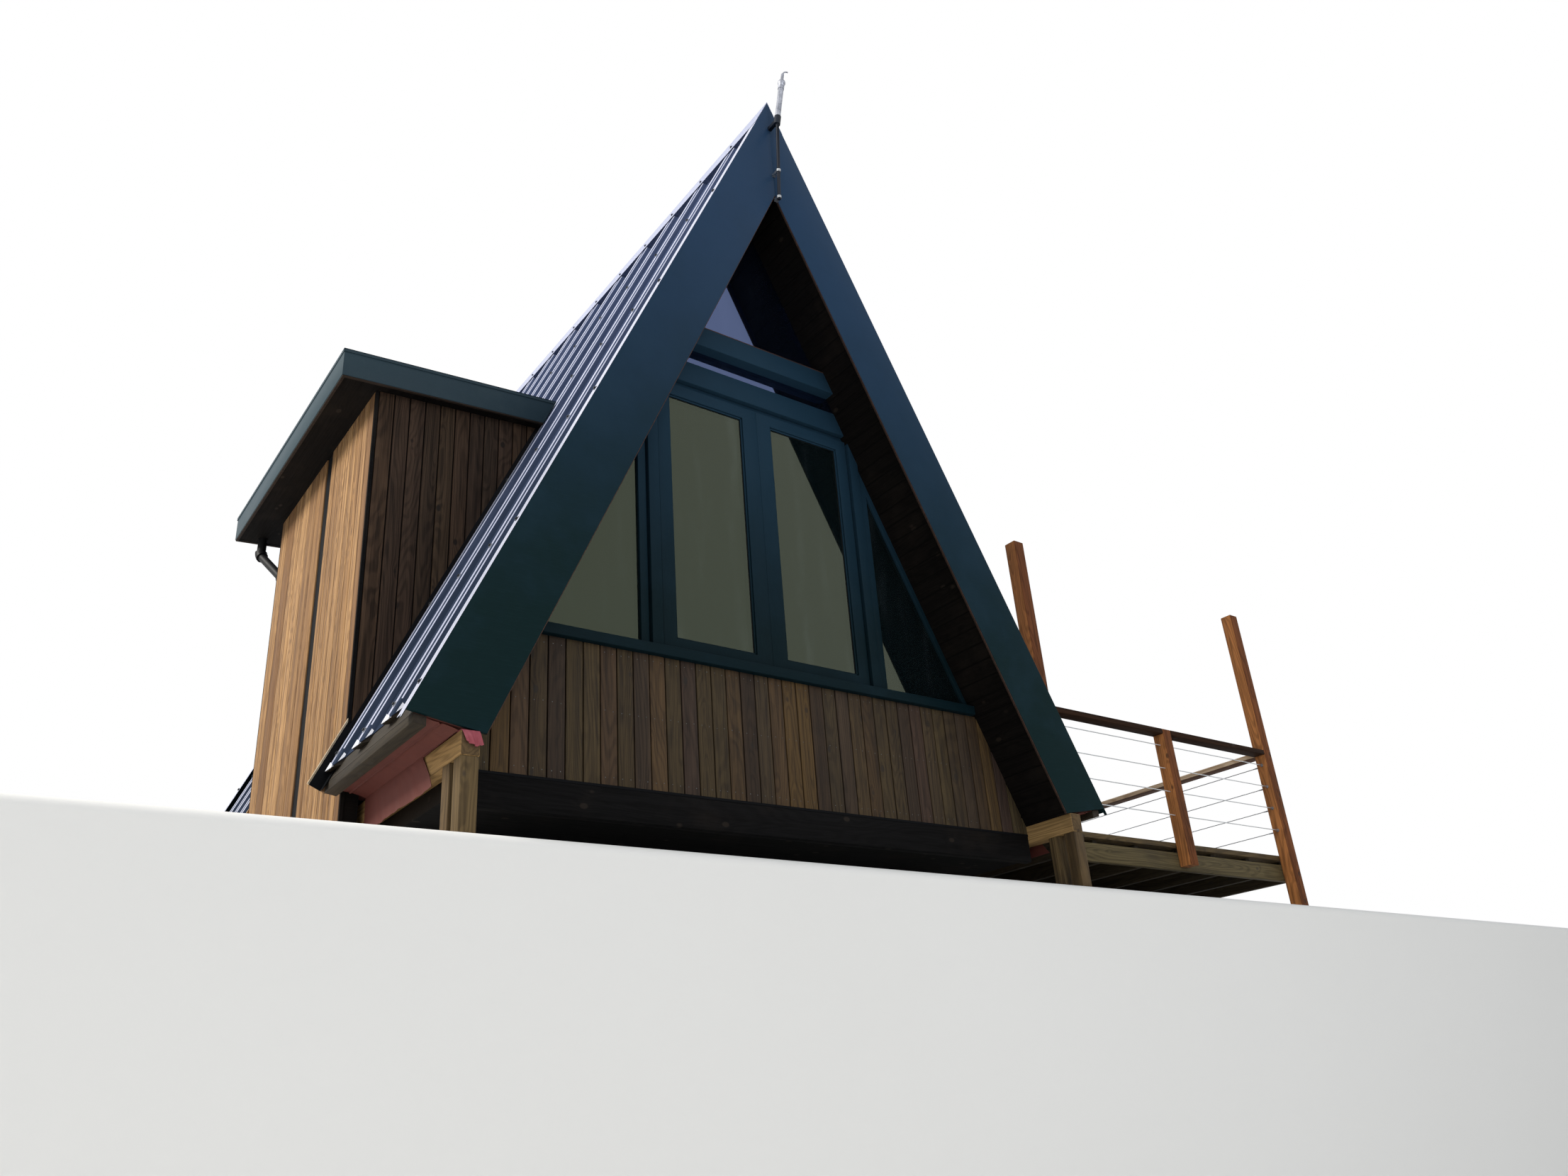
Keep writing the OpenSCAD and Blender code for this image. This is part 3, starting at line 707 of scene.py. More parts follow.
# The third colours of these three paints are painted reflection of the sky, blended in with
# height.
TRIM_LEFT = Paint("trim_paint", "0b2022", "263b40", "29415f", Grain.X, 0.5, (1.0, 5.4), 0.05)
FASCIA = Paint("fascia_paint", "22323a", "4d5a58", "2d3f49", Grain.Y, 0.5, gloss=0.12)
JOINERY = Paint("joinery_paint", "0b1b20", "22323a", "20384a", Grain.X, 0.5, (1.4, 3.6), 0.04)
JOINERY_UP = replace(JOINERY, name="joinery_upright", grain=Grain.Z)
GASKET = Plastic("window_gasket", "070808", "1c1d1f", 0.5)
GLASS = Glazing("window_glass")
# Upper glass: a bluer tint and an index far above glass's, as painted reflection of the sky.
GLASS_PAINTED_SKY = Glazing("upper_glass", "070b14", sky="9db4f2", index=3.2)
# Gable boards: a brown stain darkened as painted shade.
CLADDING_PAINTED_SHADE = Timber("gable_cladding", ("3d3225", "4c3f27", "362a21", "5a4527", "443828",
                                     "3f302a", "53402a", "47402a"),
                  "1c1511", Grain.Z, figure=0.34, weather=0.4, stain="1f1a16")
# Dormer end boards: the same stain as the side wall, darkened as painted shade.
DORMER_BOARDS_PAINTED_SHADE = Timber("dormer_dark_boards", ("493a2c", "382c24", "523f30", "3f322a", "4c3e2e"),
                     "130e0b", Grain.Z, figure=0.36, knots=0.9, weather=0.3, stain="17120f",
                     gloss=0.1)
WARM_BOARDS = Timber("dormer_warm_boards", ("8a6842", "a9855a", "7b5b3a", "b08b5f", "98744b"),
                     "513723", Grain.Z, figure=0.3, streaks=1.35, knots=0.4, weather=0.16,
                     stain="54402c")
# Near-black lining: the shade of the soffits and of the inside painted into the boards.
LINING_PAINTED_SHADE = Timber("lining_boards", ("12100f", "181513"), "080707", Grain.Y, groove=0.11, gloss=0.06)
FLOOR_BOARDS = Timber("floor_boards", ("8a6a46", "94744d", "7c5e3f"), "4f3724", Grain.Y,
                      weather=0.1)
BATTEN = Timber("eave_batten_wood", ("2c261b", "342c1f"), "19140e", Grain.Y, weather=0.4)
SOLE = Timber("sole_wood", ("9a7a4d", "a78757", "8d6f45"), "5a4428", Grain.Y, weather=0.3,
              stain="211b16", ends=0.7)
LEG = Timber("leg_wood", ("6f5d3c", "624f34", "7a6746"), "362a1a", Grain.Z, weather=0.4)
DARK_BEAM = Timber("rim_wood", ("0f0f10", "151414"), "070707", Grain.X, weather=0.3, gloss=0.06)
DECK_BEAM = Timber("deck_beam_wood", ("5c5236", "665a3d"), "332c1b", Grain.X, weather=0.3)
DECK_JOIST = Timber("deck_joist_wood", ("3a3223", "443a29"), "1e1810", Grain.Y, weather=0.3)
DECK_BOARD = Timber("deck_board_wood", ("54452f", "5f4f37", "4b3d2a", "665537"), "2a2117",
                    Grain.X, weather=0.35)
# Posts: a lit copy brightened as painted sunlight, and a darker copy for the front faces as
# painted shade.
POST_PAINTED_LIGHT = Timber("post_wood", ("d68d50", "c68049", "e09a5d"), "855530", Grain.Z, figure=0.5,
              weather=0.25)
POST_PAINTED_SHADE = Timber("post_shaded_wood", ("7f4d2e", "73452a", "875333"), "452817", Grain.Z,
                    figure=0.5, weather=0.3, gloss=0.1)
RAIL_DARK = Timber("front_rail_wood", ("352318", "3f2a1d"), "180f0a", Grain.X, weather=0.2,
                   gloss=0.06)
# Side rail: a near-white copy as painted sunlight, and a darker copy for its underside and right
# face as painted shade.
RAIL_PAINTED_LIGHT = Timber("side_rail_wood", ("efd2ac", "f5dcbb"), "a8825c", Grain.Y, weather=0.08)
RAIL_PAINTED_SHADE = Timber("rail_under_wood", ("5a3a25", "66452d"), "2c1b11", Grain.Y, weather=0.2)
REVEAL = Timber("backing_strip_wood", ("4b342c", "553b30"), "241814", Grain.X, weather=0.3)
EDGE_STRIP = Timber("edge_strip_wood", ("2b2019", "35281f"), "15100c", Grain.X, weather=0.3)
PALE_STRIP = Timber("pale_strip_wood", ("dccbae", "e2d3b8"), "b39d7e", Grain.Y, weather=0.05)
MEMBRANE = Felt("eave_membrane", "57251c", "6c342a", 0.2)
FLAP = Felt("loose_membrane", "96444f", "c07680", 0.2)
ROOF_FELT = Felt("dormer_felt", "2a2d30", "4d5154", 0.9)
FLASHING = Steel("black_flashing", "0b0c0e", "24262a", rough=0.6, waves=0.2, gloss=0.05)
ZINC = Zinc("galvanised_steel")
MAST = Zinc("mast_steel", "a9acb6", "6b6f79", 0.45)
NAIL = Zinc("nail_heads", "5f605f", "3a3a39", 0.5)
BRIGHT = Zinc("bright_clamps", "b4b8bc", "85898d", 0.3)
DARK_SCREW = Plastic("dark_screw_heads", "1e2228", "3c424c", 0.45)
PIPE = Plastic("pipe_plastic", "090a0c", "232427", 0.5)
CONDUIT = Plastic("conduit_plastic", "0b1320", "1d2836", 0.5)
ROPE_FRONT = WireRope("front_cable_rope")
ROPE_SIDE = WireRope("side_cable_rope", along=Grain.Y)
FERRULE = Zinc("cable_fittings", "c3c6c8", "8e9295", 0.28)


def block(low: Sequence[float], high: Sequence[float]) -> Shape:
    """Squared timber between two corners.

    Args:
        low: Corner with the smaller coordinates.
        high: Corner with the larger ones.

    Returns:
        The closed shape.
    """
    part = bmesh.new()
    centre = (Vector(low) + Vector(high)) / 2
    size = Vector(high) - Vector(low)
    move = Matrix.Translation(centre) @ Matrix.Diagonal((*size, 1.0))
    bmesh.ops.create_cube(part, size=1.0, matrix=move)
    return part


def drawn_out(part: Shape, grown: dict[str, list[object]], step: Sequence[float]) -> None:
    """Move what an extrusion has made.

    Args:
        part: Shape that was extruded.
        grown: What the operator returned.
        step: How far and which way.
    """
    verts = [item for item in grown["geom"] if isinstance(item, bmesh.types.BMVert)]
    bmesh.ops.translate(part, vec=step, verts=verts)
    bmesh.ops.recalc_face_normals(part, faces=part.faces[:])


def prism(outline: Sequence[Pair], start: float, end: float,
          axis: Grain = Grain.Y) -> Shape:
    """Straight length with one outline.

    Args:
        outline: Corners in X and Z for a length along Y, in Y and Z for one along X,
            or in X and Y for one along Z.
        start: Where it starts.
        end: Where it ends.
        axis: Axis that it runs along.

    Returns:
        The closed shape.
    """
    part = bmesh.new()
    first, second = {Grain.Y: (0, 2), Grain.X: (1, 2), Grain.Z: (0, 1)}[axis]
    corners = []
    for one, other in outline:
        point = Vector((0.0, 0.0, 0.0))
        point[first], point[second], point[axis.value] = one, other, start
        corners.append(part.verts.new(point))
    step = Vector((0.0, 0.0, 0.0))
    step[axis.value] = end - start
    grown = bmesh.ops.extrude_face_region(part, geom=[part.faces.new(corners)])
    drawn_out(part, grown, step)
    return part


def strip(corners: Iterable[Vector], ends: Sequence[float]) -> Shape:
    """Length along Y, between two places, whose outline passes through the corners."""
    return prism([(corner.x, corner.z) for corner in corners], *ends)


def rod(start: Vector, end: Vector, radius: float, sides: int = 16,
        tip: float | None = None) -> Shape:
    """Round bar between two points.

    Args:
        start: Middle of its first end.
        end: Middle of its second end.
        radius: Radius at the first end.
        sides: Faces round it.
        tip: Radius at the second end, if the bar tapers.

    Returns:
        The closed shape.
    """
    part = bmesh.new()
    way = end - start
    turn = way.to_track_quat("Z", "Y").to_matrix().to_4x4()
    bmesh.ops.create_cone(part, cap_ends=True, segments=sides, radius1=radius,
                          radius2=radius if tip is None else tip, depth=way.length,
                          matrix=Matrix.Translation((start + end) / 2) @ turn)
    return part


def nail(at: Vector, out: Vector, radius: float) -> Shape:
    """Flat head that stands a hair proud of a board and reaches a little into it."""
    return rod(at - out * 0.004, at + out * 0.0006, radius, 8)


def span(face: float, turn: float, near: float, far: float) -> list[float]:
    """Two places measured from a face in one direction, the lower one first."""
    return sorted((face + turn * near, face + turn * far))


def split(part: Shape, cut: Cut, clear: bool = False, snap: float = 1e-6) -> None:
    """Cut a shape's faces along a plane.

    Args:
        part: Shape to cut.
        cut: A point of the plane and its direction.
        clear: Whether what lies beyond the plane goes.
        snap: Distance within which a corner counts as on the plane.
    """
    geom = part.verts[:] + part.edges[:] + part.faces[:]
    bmesh.ops.bisect_plane(part, geom=geom, dist=snap, plane_co=cut[0], plane_no=cut[1],
                           clear_outer=clear)


def trimmed(part: Shape, cuts: Iterable[Cut]) -> Shape:
    """Saw a shape along planes and close the sawn faces.

    Args:
        part: Shape to saw.
        cuts: A point and the direction to take away for each cut.

    Returns:
        The same shape, sawn.
    """
    for cut in cuts:
        split(part, cut, clear=True)
        open_edges = [edge for edge in part.edges if edge.is_boundary]
        if open_edges:
            bmesh.ops.holes_fill(part, edges=open_edges, sides=0)
    return part


def rounded(part: Shape, edges: list[Edge], width: float, steps: int) -> Shape:
    """Round some edges of a shape.

    Args:
        part: Shape to work on.
        edges: Edges to round.
        width: Width of the rounding.
        steps: Faces across it.

    Returns:
        The same shape, rounded.
    """
    bmesh.ops.bevel(part, geom=edges, offset=width, offset_type="OFFSET", segments=steps,
                    profile=0.5, affect="EDGES", clamp_overlap=True, material=-1)
    return part


def softened(part: Shape, width: float, steps: int = 2) -> Shape:
    """Round the sharp edges of a shape to a width, with some faces across."""
    sharp = [e for e in part.edges if e.is_manifold and e.calc_face_angle(0.0) > SHARP]
    return rounded(part, sharp, width, steps) if sharp else part


def carried(node: str, width: float = 0.0, steps: int = 2) -> Shape:
    """Copy a node's shape into the cabin's axes, merged, with its edges rounded.

    Args:
        node: Name of the node.
        width: Width of the rounding.
        steps: Faces across it.

    Returns:
        The copy.
    """
    part = bmesh.new()
    part.from_mesh(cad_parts[node].data)
    bmesh.ops.translate(part, vec=-ORIGIN, verts=part.verts[:])
    bmesh.ops.remove_doubles(part, verts=part.verts[:], dist=MERGE_WITHIN)
    bmesh.ops.dissolve_limit(part, angle_limit=FLAT_WITHIN, verts=part.verts[:],
                             edges=part.edges[:])
    return softened(part, width, steps) if width else part


def merge(target: Shape, part: Shape) -> None:
    """Move a part's faces into another shape and free the part.

    Args:
        target: Shape that grows.
        part: Shape that is used up.
    """
    scratch = bpy.data.meshes.new("scratch")
    part.to_mesh(scratch)
    part.free()
    target.from_mesh(scratch)
    bpy.data.meshes.remove(scratch)


class Stock:
    """A piece being made up from its parts, each with its own tone and finish."""

    def __init__(self) -> None:
        """Start with nothing."""
        self.mesh = bmesh.new()
        self.tone = self.mesh.verts.layers.float.new("tone")

    def add(self, part: Shape, tone: float = 0.5, finish: int | None = 0) -> None:
        """Take in a part and free it.

        Args:
            part: Shape in the cabin's axes.
            tone: Its tone, from 0 to 1.
            finish: Place of its finish in the piece's list, or None to keep its own.
        """
        verts, faces = len(self.mesh.verts), len(self.mesh.faces)
        merge(self.mesh, part)
        self.mesh.verts.ensure_lookup_table()
        self.mesh.faces.ensure_lookup_table()
        for vert in self.mesh.verts[verts:]:
            vert[self.tone] = tone
        if finish is not None:
            for face in self.mesh.faces[faces:]:
                face.material_index = finish

    def tone_by_part(self, seed: int) -> None:
        """Give each separate solid its own tone.

        Args:
            seed: Seed of the tones.
        """
        dice = random.Random(seed)
        left = set(self.mesh.verts)
        for start in self.mesh.verts:
            if start not in left:
                continue
            tone, queue = dice.random(), [start]
            left.discard(start)
            while queue:
                vert = queue.pop()
                vert[self.tone] = tone
                for edge in vert.link_edges:
                    other = edge.other_vert(vert)
                    if other in left:
                        left.discard(other)
                        queue.append(other)

    def place(self, name: str, finishes: Sequence[object], slot: str,
              instead: Sequence[str] = (), choose: Callable[[Face], int] | None = None,
              smooth: float = 32.0) -> Piece:
        """Make the piece: move it to its place, dress it and let it ride.

        Args:
            name: Name of the piece.
            finishes: Its finishes.
            slot: Record slot; it is only written to the log.
            instead: Nodes that it stands for.
            choose: Picks the finish of a face, where they differ.
            smooth: Angle up to which faces shade as one, in degrees.

        Returns:
            The new object.
        """
        if choose:
            for face in self.mesh.faces:
                face.material_index = choose(face)
        bmesh.ops.translate(self.mesh, vec=ORIGIN, verts=self.mesh.verts[:])
        piece = shown(name, self.mesh, finishes)
        piece.data.set_sharp_from_angle(angle=math.radians(smooth))
        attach(piece, BODY)
        if instead:
            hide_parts(*instead)
        LOG.info("%-24s %6d faces, slot %s", name, len(piece.data.polygons), slot)
        return piece


def shown(name: str, part: Shape, finishes: Iterable[object]) -> Piece:
    """Put a shape into the scene and free it.

    Args:
        name: Name of the object.
        part: Its shape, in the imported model's frame.
        finishes: Its finishes.

    Returns:
        The new object.
    """
    data = bpy.data.meshes.new(name)
    part.to_mesh(data)
    part.free()
    data.shade_smooth()
    for finish in finishes:
        data.materials.append(material(finish))
    piece = bpy.data.objects.new(name, data)
    bpy.context.scene.collection.objects.link(piece)
    return piece


def carry(node: str, finishes: Sequence[object], slot: str, width: float = 0.0,
          steps: int = 2, seed: int | None = None, tone: float = 0.5, name: str = "",
          choose: Callable[[Face], int] | None = None, smooth: float = 32.0) -> None:
    """Bring a node over as a piece with rounded edges.

    Args:
        node: Name of the node.
        finishes: Its finishes.
        slot: Record slot.
        width: Width of the rounding.
        steps: Faces across it.
        seed: Seed of its solids' tones, where each has its own.
        tone: Tone of them all, where there is no seed.
        name: Name of the piece, if it isn't the node's with "_dressed".
        choose: Picks the finish of a face, where they differ.
        smooth: Angle up to which faces shade as one, in degrees.
    """
    stock = Stock()
    stock.add(carried(node, width, steps), tone)
    if seed is not None:
        stock.tone_by_part(seed)
    stock.place(name or f"{node}_dressed", finishes, slot, [node], choose, smooth)


def dress(node: str, finish: object, high: object = None, above: float = 0.0) -> None:
    """Give a node that stays as it is its finish.

    Args:
        node: Name of the node.
        finish: Its finish.
        high: Finish of what lies higher up, where that differs.
        above: Height from which it does.
    """
    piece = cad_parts[node]
    piece.data.materials.clear()
    piece.data.materials.append(material(finish))
    if high:
        piece.data.materials.append(material(high))
        for face in piece.data.polygons:
            face.material_index = int(face.center.z - ORIGIN.z > above)
    LOG.info("%-24s kept as it is", node)


def screw(at: Vector, out: Vector, size: float, washer_t: float = 0.0022) -> Shape:
    """Hexagon screw head, in the second finish, on its washer, in the first.

    Args:
        at: Its place on the sheet.
        out: Direction straight out of the sheet.
        size: Radius of the head.
        washer_t: Height of the washer.

    Returns:
        The screw and its washer.
    """
    part = rod(at - out * HAIR, at + out * washer_t, size * 1.75, 12)
    head = rod(at + out * 2 * HAIR, at + out * (washer_t + size * 0.9), size, 6)
    for face in head.faces:
        face.material_index = 1
    merge(part, head)
    return part


@dataclass(frozen=True)
class Section:
    """Section across the cabin, shared by every sub-assembly."""

    half_w: float = 2.6
    rise: float = 5.525
    length: float = 6.0
    depth: float = 0.38
    sheet_depth: float = 0.044
    barge_w: float = 0.413
    barge_t: float = 0.022
    drip: float = 0.048
    reach: float = 0.425

    @property
    def angle(self) -> float:
        """Pitch of the roof in radians."""
        return math.atan2(self.rise, self.half_w)

    @property
    def ridge_up(self) -> float:
        """Distance up a slope from the sheet's lower edge to the ridge."""
        return math.hypot(self.half_w, self.rise) + self.drip

    def out(self, side: int) -> Vector:
        """Direction straight out of a slope."""
        return Vector((side * math.sin(self.angle), 0.0, math.cos(self.angle)))

    def up(self, side: int) -> Vector:
        """Direction straight up a slope."""
        return Vector((-side * math.cos(self.angle), 0.0, math.sin(self.angle)))

    def plane(self, side: int) -> tuple[Vector, Vector, Vector]:
        """Foot of a slope, and the directions straight out of it and up it."""
        return self.at(side, 0.0, 0.0), self.out(side), self.up(side)

    def under(self, side: int, depth: float) -> Cut:
        """Cut that leaves what lies deeper than depth in a slope."""
        out = self.out(side)
        return ABOVE * self.rise - out * depth, out

    def over(self, side: int, depth: float) -> Cut:
        """Cut that leaves what lies above depth in a slope."""
        point, out = self.under(side, depth)
        return point, -out

    def inside(self, depth: float) -> list[Cut]:
        """Cuts that leave what lies deeper than depth below both slopes."""
        return [self.under(side, depth) for side in SIDES]

    def half_at(self, z: float, depth: float) -> float:
        """Half the width at a height, at a depth in the roof."""
        return (self.rise - z) * self.half_w / self.rise - depth / math.sin(self.angle)

    def ridge_at(self, depth: float) -> float:
        """Height of a depth line at the ridge."""
        return self.rise - depth / math.cos(self.angle)

    def foot(self, depth: float) -> Pair:
        """Place on the sloping foot line of the roof, on the right.

        Args:
            depth: Depth in the roof.

        Returns:
            Its distance from the middle and its height.
        """
        low = self.ridge_at(self.barge_w) + FOOT_DROP
        run = self.half_w - low * self.half_w / self.rise
        share = depth / self.barge_w
        return self.half_w - run * share, -FOOT_DROP * share

    def at(self, side: int, up: float, y: float, proud: float = 0.0) -> Vector:
        """Point some way up a slope from the sheet's lower edge, and proud of its plane."""
        foot = Vector((side * self.half_w, y, 0.0))
        return foot + self.up(side) * (up - self.drip) + self.out(side) * proud

    def laid(self, part: Shape, side: int) -> Shape:
        """Lay a part on a slope.

        Args:
            part: Part with X along the cabin, Y up the slope and Z out of it.
            side: -1 left, 1 right.

        Returns:
            The same part, on the slope.
        """
        turn = Matrix((ALONG, self.up(side), self.out(side))).transposed()
        move = Matrix.Translation(self.at(side, 0.0, 0.0)) @ turn.to_4x4()
        bmesh.ops.transform(part, matrix=move, verts=part.verts[:])
        bmesh.ops.recalc_face_normals(part, faces=part.faces[:])
        return part


SECTION = Section()


@dataclass
class Roof:
    """Sheets, capping, barge boards, panels and everything at the eaves."""

    section: Section = SECTION
    rib_pitch: float = 0.46
    rib_first: float = 0.365
    rib_last: float = 0.09
    rib_crest: float = 0.126
    rib_flank: float = 0.018
    rib_h: float = 0.038
    crest_in: float = 0.004
    bend: float = 0.012
    bend_turn: float = 40.0
    bend_in: float = 0.012
    roll_in: float = 0.014
    roll_lean: Pair = (0.55, 0.995)
    flat_in: float = 0.008
    # Where the painted highlight lies: a strip this wide behind each crest's rear bend, and, next,
    # the distance up the slope below which the front bends get none.
    shine: float = 0.058
    glint_start: float = 0.24
    hem: float = 0.118
    rake: float = 0.08
    lap_hem: float = 0.022
    screw_first: float = 0.235
    screw_step: float = 1.16
    screw_rows: int = 5
    screw_r: float = 0.0095
    screw_side: float = 0.03
    screw_proud: float = -0.003
    lap_screw: float = 0.05
    lap_proud: float = 0.0002
    cap_screw: float = 0.08
    cap_screw_r: float = 0.009
    cap_proud: float = 0.004
    dormer: Pair = (1.39, 3.55)
    dormer_up: float = 3.6
    dormer_room: float = 0.06
    cap_w: float = 0.19
    cap_more: float = 0.11
    cap_lap: float = 0.015
    skirt: Pair = (0.0009, 0.0041)
    closure_end: float = 0.094
    closure_least: float = 0.03
    closure_up: Pair = (0.006, 0.05)
    closure_out: Pair = (-0.0385, -0.0012)
    barge_edge: float = 0.0018
    barge_tones: Pair = (0.3, 0.6)
    seam_clear: float = 0.0004
    backing_w: float = 0.0045
    backing_t: float = 0.016
    backing_in: float = 0.003
    backing_toe: Pair = (0.004, 0.003)
    fold_w: float = 0.003
    fold_up: Pair = (0.002, 0.064)
    fold_out: Pair = (-0.005, -0.0018)
    fold_dip: float = 0.006
    flank_fold: Outline = ((0.036, -0.017), (0.1, -0.02), (0.09, -0.041))
    flank_t: Pair = (-0.003, 0.0015)
    filler_up: Pair = (0.03, 0.12)
    filler_out: Pair = (-0.044, -0.0085)
    filler_lean: float = 0.9
    filler_clear: float = 0.005
    foot_z: float = 0.05
    eave_end: float = 0.03
    eave_gap: Pair = (0.005, 0.01)
    sheet_w: float = 0.36
    sheet_t: float = 0.0022
    wave_step: float = 0.045
    steps_in: Outline = ((0.112, 0.001), (0.15, 0.005), (0.178, 0.003), (0.185, 0.012),
                         (0.191, 0.006), (0.2, 0.003), (0.25, 0.006))
    hang: Outline = ((0.001, -0.062), (0.003, -0.08), (0.0, -0.14), (-0.001, -0.198),
                     (-0.004, -0.235), (-0.006, -0.272))
    sheet_off: float = 0.0035
    turn_z: float = -0.075
    loose_z: float = -0.2
    loose_least: float = 0.0016
    loose_rate: float = 0.1
    torn_y: float = 0.51
    torn_z: float = -0.05
    torn_lean: float = 0.8
    flap_size: Pair = (0.095, 0.14)
    flap_line: Outline = ((0.06, -0.0655), (0.012, -0.0645), (-0.003, -0.068),
                          (-0.0065, -0.09), (-0.006, -0.12), (-0.0045, -0.15))
    flap_t: Pair = (0.0016, -0.0012)
    flap_bend: float = -0.068
    flap_peak: float = 0.62

    @property
    def cap_edge(self) -> float:
        """Distance up a slope of the capping's lower edge."""
        return self.section.ridge_up - self.cap_w - self.cap_more

    def ribs(self) -> list[float]:
        """Distances of the ribs' middles from the front.

        Returns:
            One distance for each rib.
        """
        start = self.rib_first + self.section.barge_t
        room = self.section.length - self.rib_last - self.rib_crest
        count = int((room - start) / self.rib_pitch) + 1
        return [start + i * self.rib_pitch for i in range(count)]

    def covered(self, side: int, y: float, up: float) -> bool:
        """Whether the dormer stands where this point of a slope would be."""
        near, far = self.dormer[0] - self.dormer_room, self.dormer[1] + self.dormer_room
        return side < 0 and near < y < far and up < self.dormer_up

    def sheets(self) -> None:
        """Ribbed sheets, with painted highlights on the folds where their lower ends are dressed
        down.
        """
        for side, word in SIDES.items():
            stock = Stock()
            stock.add(self.rolled(side), finish=None)
            for y in [y for y in self.ribs() if not self.covered(side, y, 0.0)]:
                # Crest and flank folds take the near-white painted highlight; the filler takes the
                # batten's finish.
                for fold, finish in zip(self.folds(y), (2, 2, 3)):
                    stock.add(self.section.laid(fold, side), finish=finish)
            stock.place(f"roof_sheet_{word}", [ROOF_STEEL, BEND_PAINTED_HIGHLIGHT, FOLD_PAINTED_HIGHLIGHT, BATTEN],
                        "roof_sheet", [f"sheet_{word}"])

    def folds(self, y: float) -> list[Shape]:
        """Lower end of a rib: a fold on its crest, one on its front flank, and a filler.

        Args:
            y: Middle of the rib.

        Returns:
            The two folds and the filler, before they are laid on the slope.
        """
        half = self.rib_crest / 2
        low, high = (self.hem + up for up in self.fold_up)
        crest = prism([(y - half - self.fold_w, low), (y + half, low), (y + half, high)],
                      *self.fold_out, Grain.Z)
        for vert in crest.verts:
            if vert.co.x < y - half:
                vert.co.z -= self.fold_dip
        flank = prism([(self.hem + up, out) for up, out in self.flank_fold], *self.flank_t,
                      Grain.X)
        for vert in flank.verts:
            vert.co.x += y - half + self.rib_flank * (vert.co.z + self.crest_in) / self.rib_h
        pan, crown = self.filler_out
        foot, head = half + self.rib_flank - self.filler_clear, half - self.fold_w
        filler = prism([(y - foot, pan), (y - head, crown), (y + head, crown), (y + foot, pan)],
                       *(self.hem + up for up in self.filler_up))
        for vert in filler.verts:
            vert.co.y -= (vert.co.z - pan) * self.filler_lean
        return [crest, flank, filler]

    def rolled(self, side: int) -> Shape:
        """Sheet of one slope with its crests' bends rolled and given a painted highlight.

        Args:
            side: -1 left, 1 right.

        Returns:
            The sheet, with the bends in the second finish.
        """
        part = carried(f"sheet_{SIDES[side]}")
        foot, out, up = self.section.plane(side)
        half = self.rib_crest / 2
        away = -(up * self.rib_h + out * self.rake).normalized()
        trimmed(part, [(foot + up * self.hem - out * self.crest_in, away)])
        # Split the sheet where the painted highlight starts and stops.
        for y in self.ribs():
            split(part, (ALONG * (y + half - self.shine), ALONG), snap=1e-5)
        split(part, (foot + up * self.glint_start, up), snap=1e-5)
        bends = [edge for edge in part.edges if self.is_bend(edge, side)]
        rounded(part, bends, self.bend, 3)
        for face in part.faces:
            face.material_index = int(self.takes_painted_glint(face, side))
        return part

    def is_bend(self, edge: Edge, side: int) -> bool:
        """Whether an edge of a sheet is a bend along one of its crests.

        Args:
            edge: Edge of the sheet.
            side: -1 left, 1 right.

        Returns:
            True on a crest's bend.
        """
        if not edge.is_manifold or edge.calc_face_angle(0.0) <= math.radians(self.bend_turn):
            return False
        foot, out, up = self.section.plane(side)
        start, end = (vert.co for vert in edge.verts)
        flat = all(abs(face.normal.dot(out)) > 0.2 for face in edge.link_faces)
        high = (start - foot).dot(out) > -self.bend_in
        return flat and high and abs((end - start).normalized().dot(up)) > ALIGNED

    def takes_painted_glint(self, face: Face, side: int) -> bool:
        """Whether a face of a sheet takes the painted highlight: a bend, or the strip behind one.

        Args:
            face: Face of the sheet.
            side: -1 left, 1 right.

        Returns:
            True where the painted highlight goes. Near the hem the front bends get none.
        """
        foot, out, up = self.section.plane(side)
        half = self.rib_crest / 2
        lean, middle = face.normal.dot(out), face.calc_center_median()
        level = (middle - foot).dot(out)
        behind = any(half - self.shine < middle.y - y < half for y in self.ribs())
        if lean > ALIGNED and level > -self.flat_in and behind:
            return True
        high = (middle - foot).dot(up) > self.glint_start
        front = any(abs(middle.y - y + half) < half / 2 for y in self.ribs())
        least, most = self.roll_lean
        return least < lean < most and level > -self.roll_in and (high or not front)

    def capping(self) -> None:
        """Ridge capping, with a skirt on each slope."""
        sec = self.section
        stock = Stock()
        stock.add(carried("ridge_cap", 0.0015))
        low, high = self.skirt
        outline = [(0.0, low), (sec.length, low), (sec.length, high), (0.0, high)]
        for side in SIDES:
            top = sec.ridge_up - self.cap_w + self.cap_lap
            stock.add(softened(sec.laid(prism(outline, self.cap_edge, top), side), HAIR))
        # The capping's pale finish is painted sunlight.
        stock.place("ridge_capping", [CAP_PAINTED_LIGHT], "roof_sheet", ["ridge_cap"])

    def closures(self) -> None:
        """Profiled closures over the pans, below the capping's edge."""
        sec = self.section
        stock = Stock()
        half, end = self.rib_crest / 2, sec.length - self.closure_end
        starts = [self.closure_end, *(y + half for y in self.ribs())]
        stops = [*(y - half for y in self.ribs()), end]
        pan, crest = self.closure_out
        for side in SIDES:
            for start, stop in zip(starts, stops):
                if stop - start < self.closure_least:
                    continue
                near = start + (self.rib_flank if start > self.closure_end else 0.0)
                far = stop - (self.rib_flank if stop < end else 0.0)
                outline = [(near, pan), (far, pan), (stop, crest), (start, crest)]
                part = prism(outline, *(self.cap_edge + up for up in self.closure_up))
                stock.add(sec.laid(part, side))
        stock.place("ridge_closures", [ROOF_STEEL], "roof_sheet")

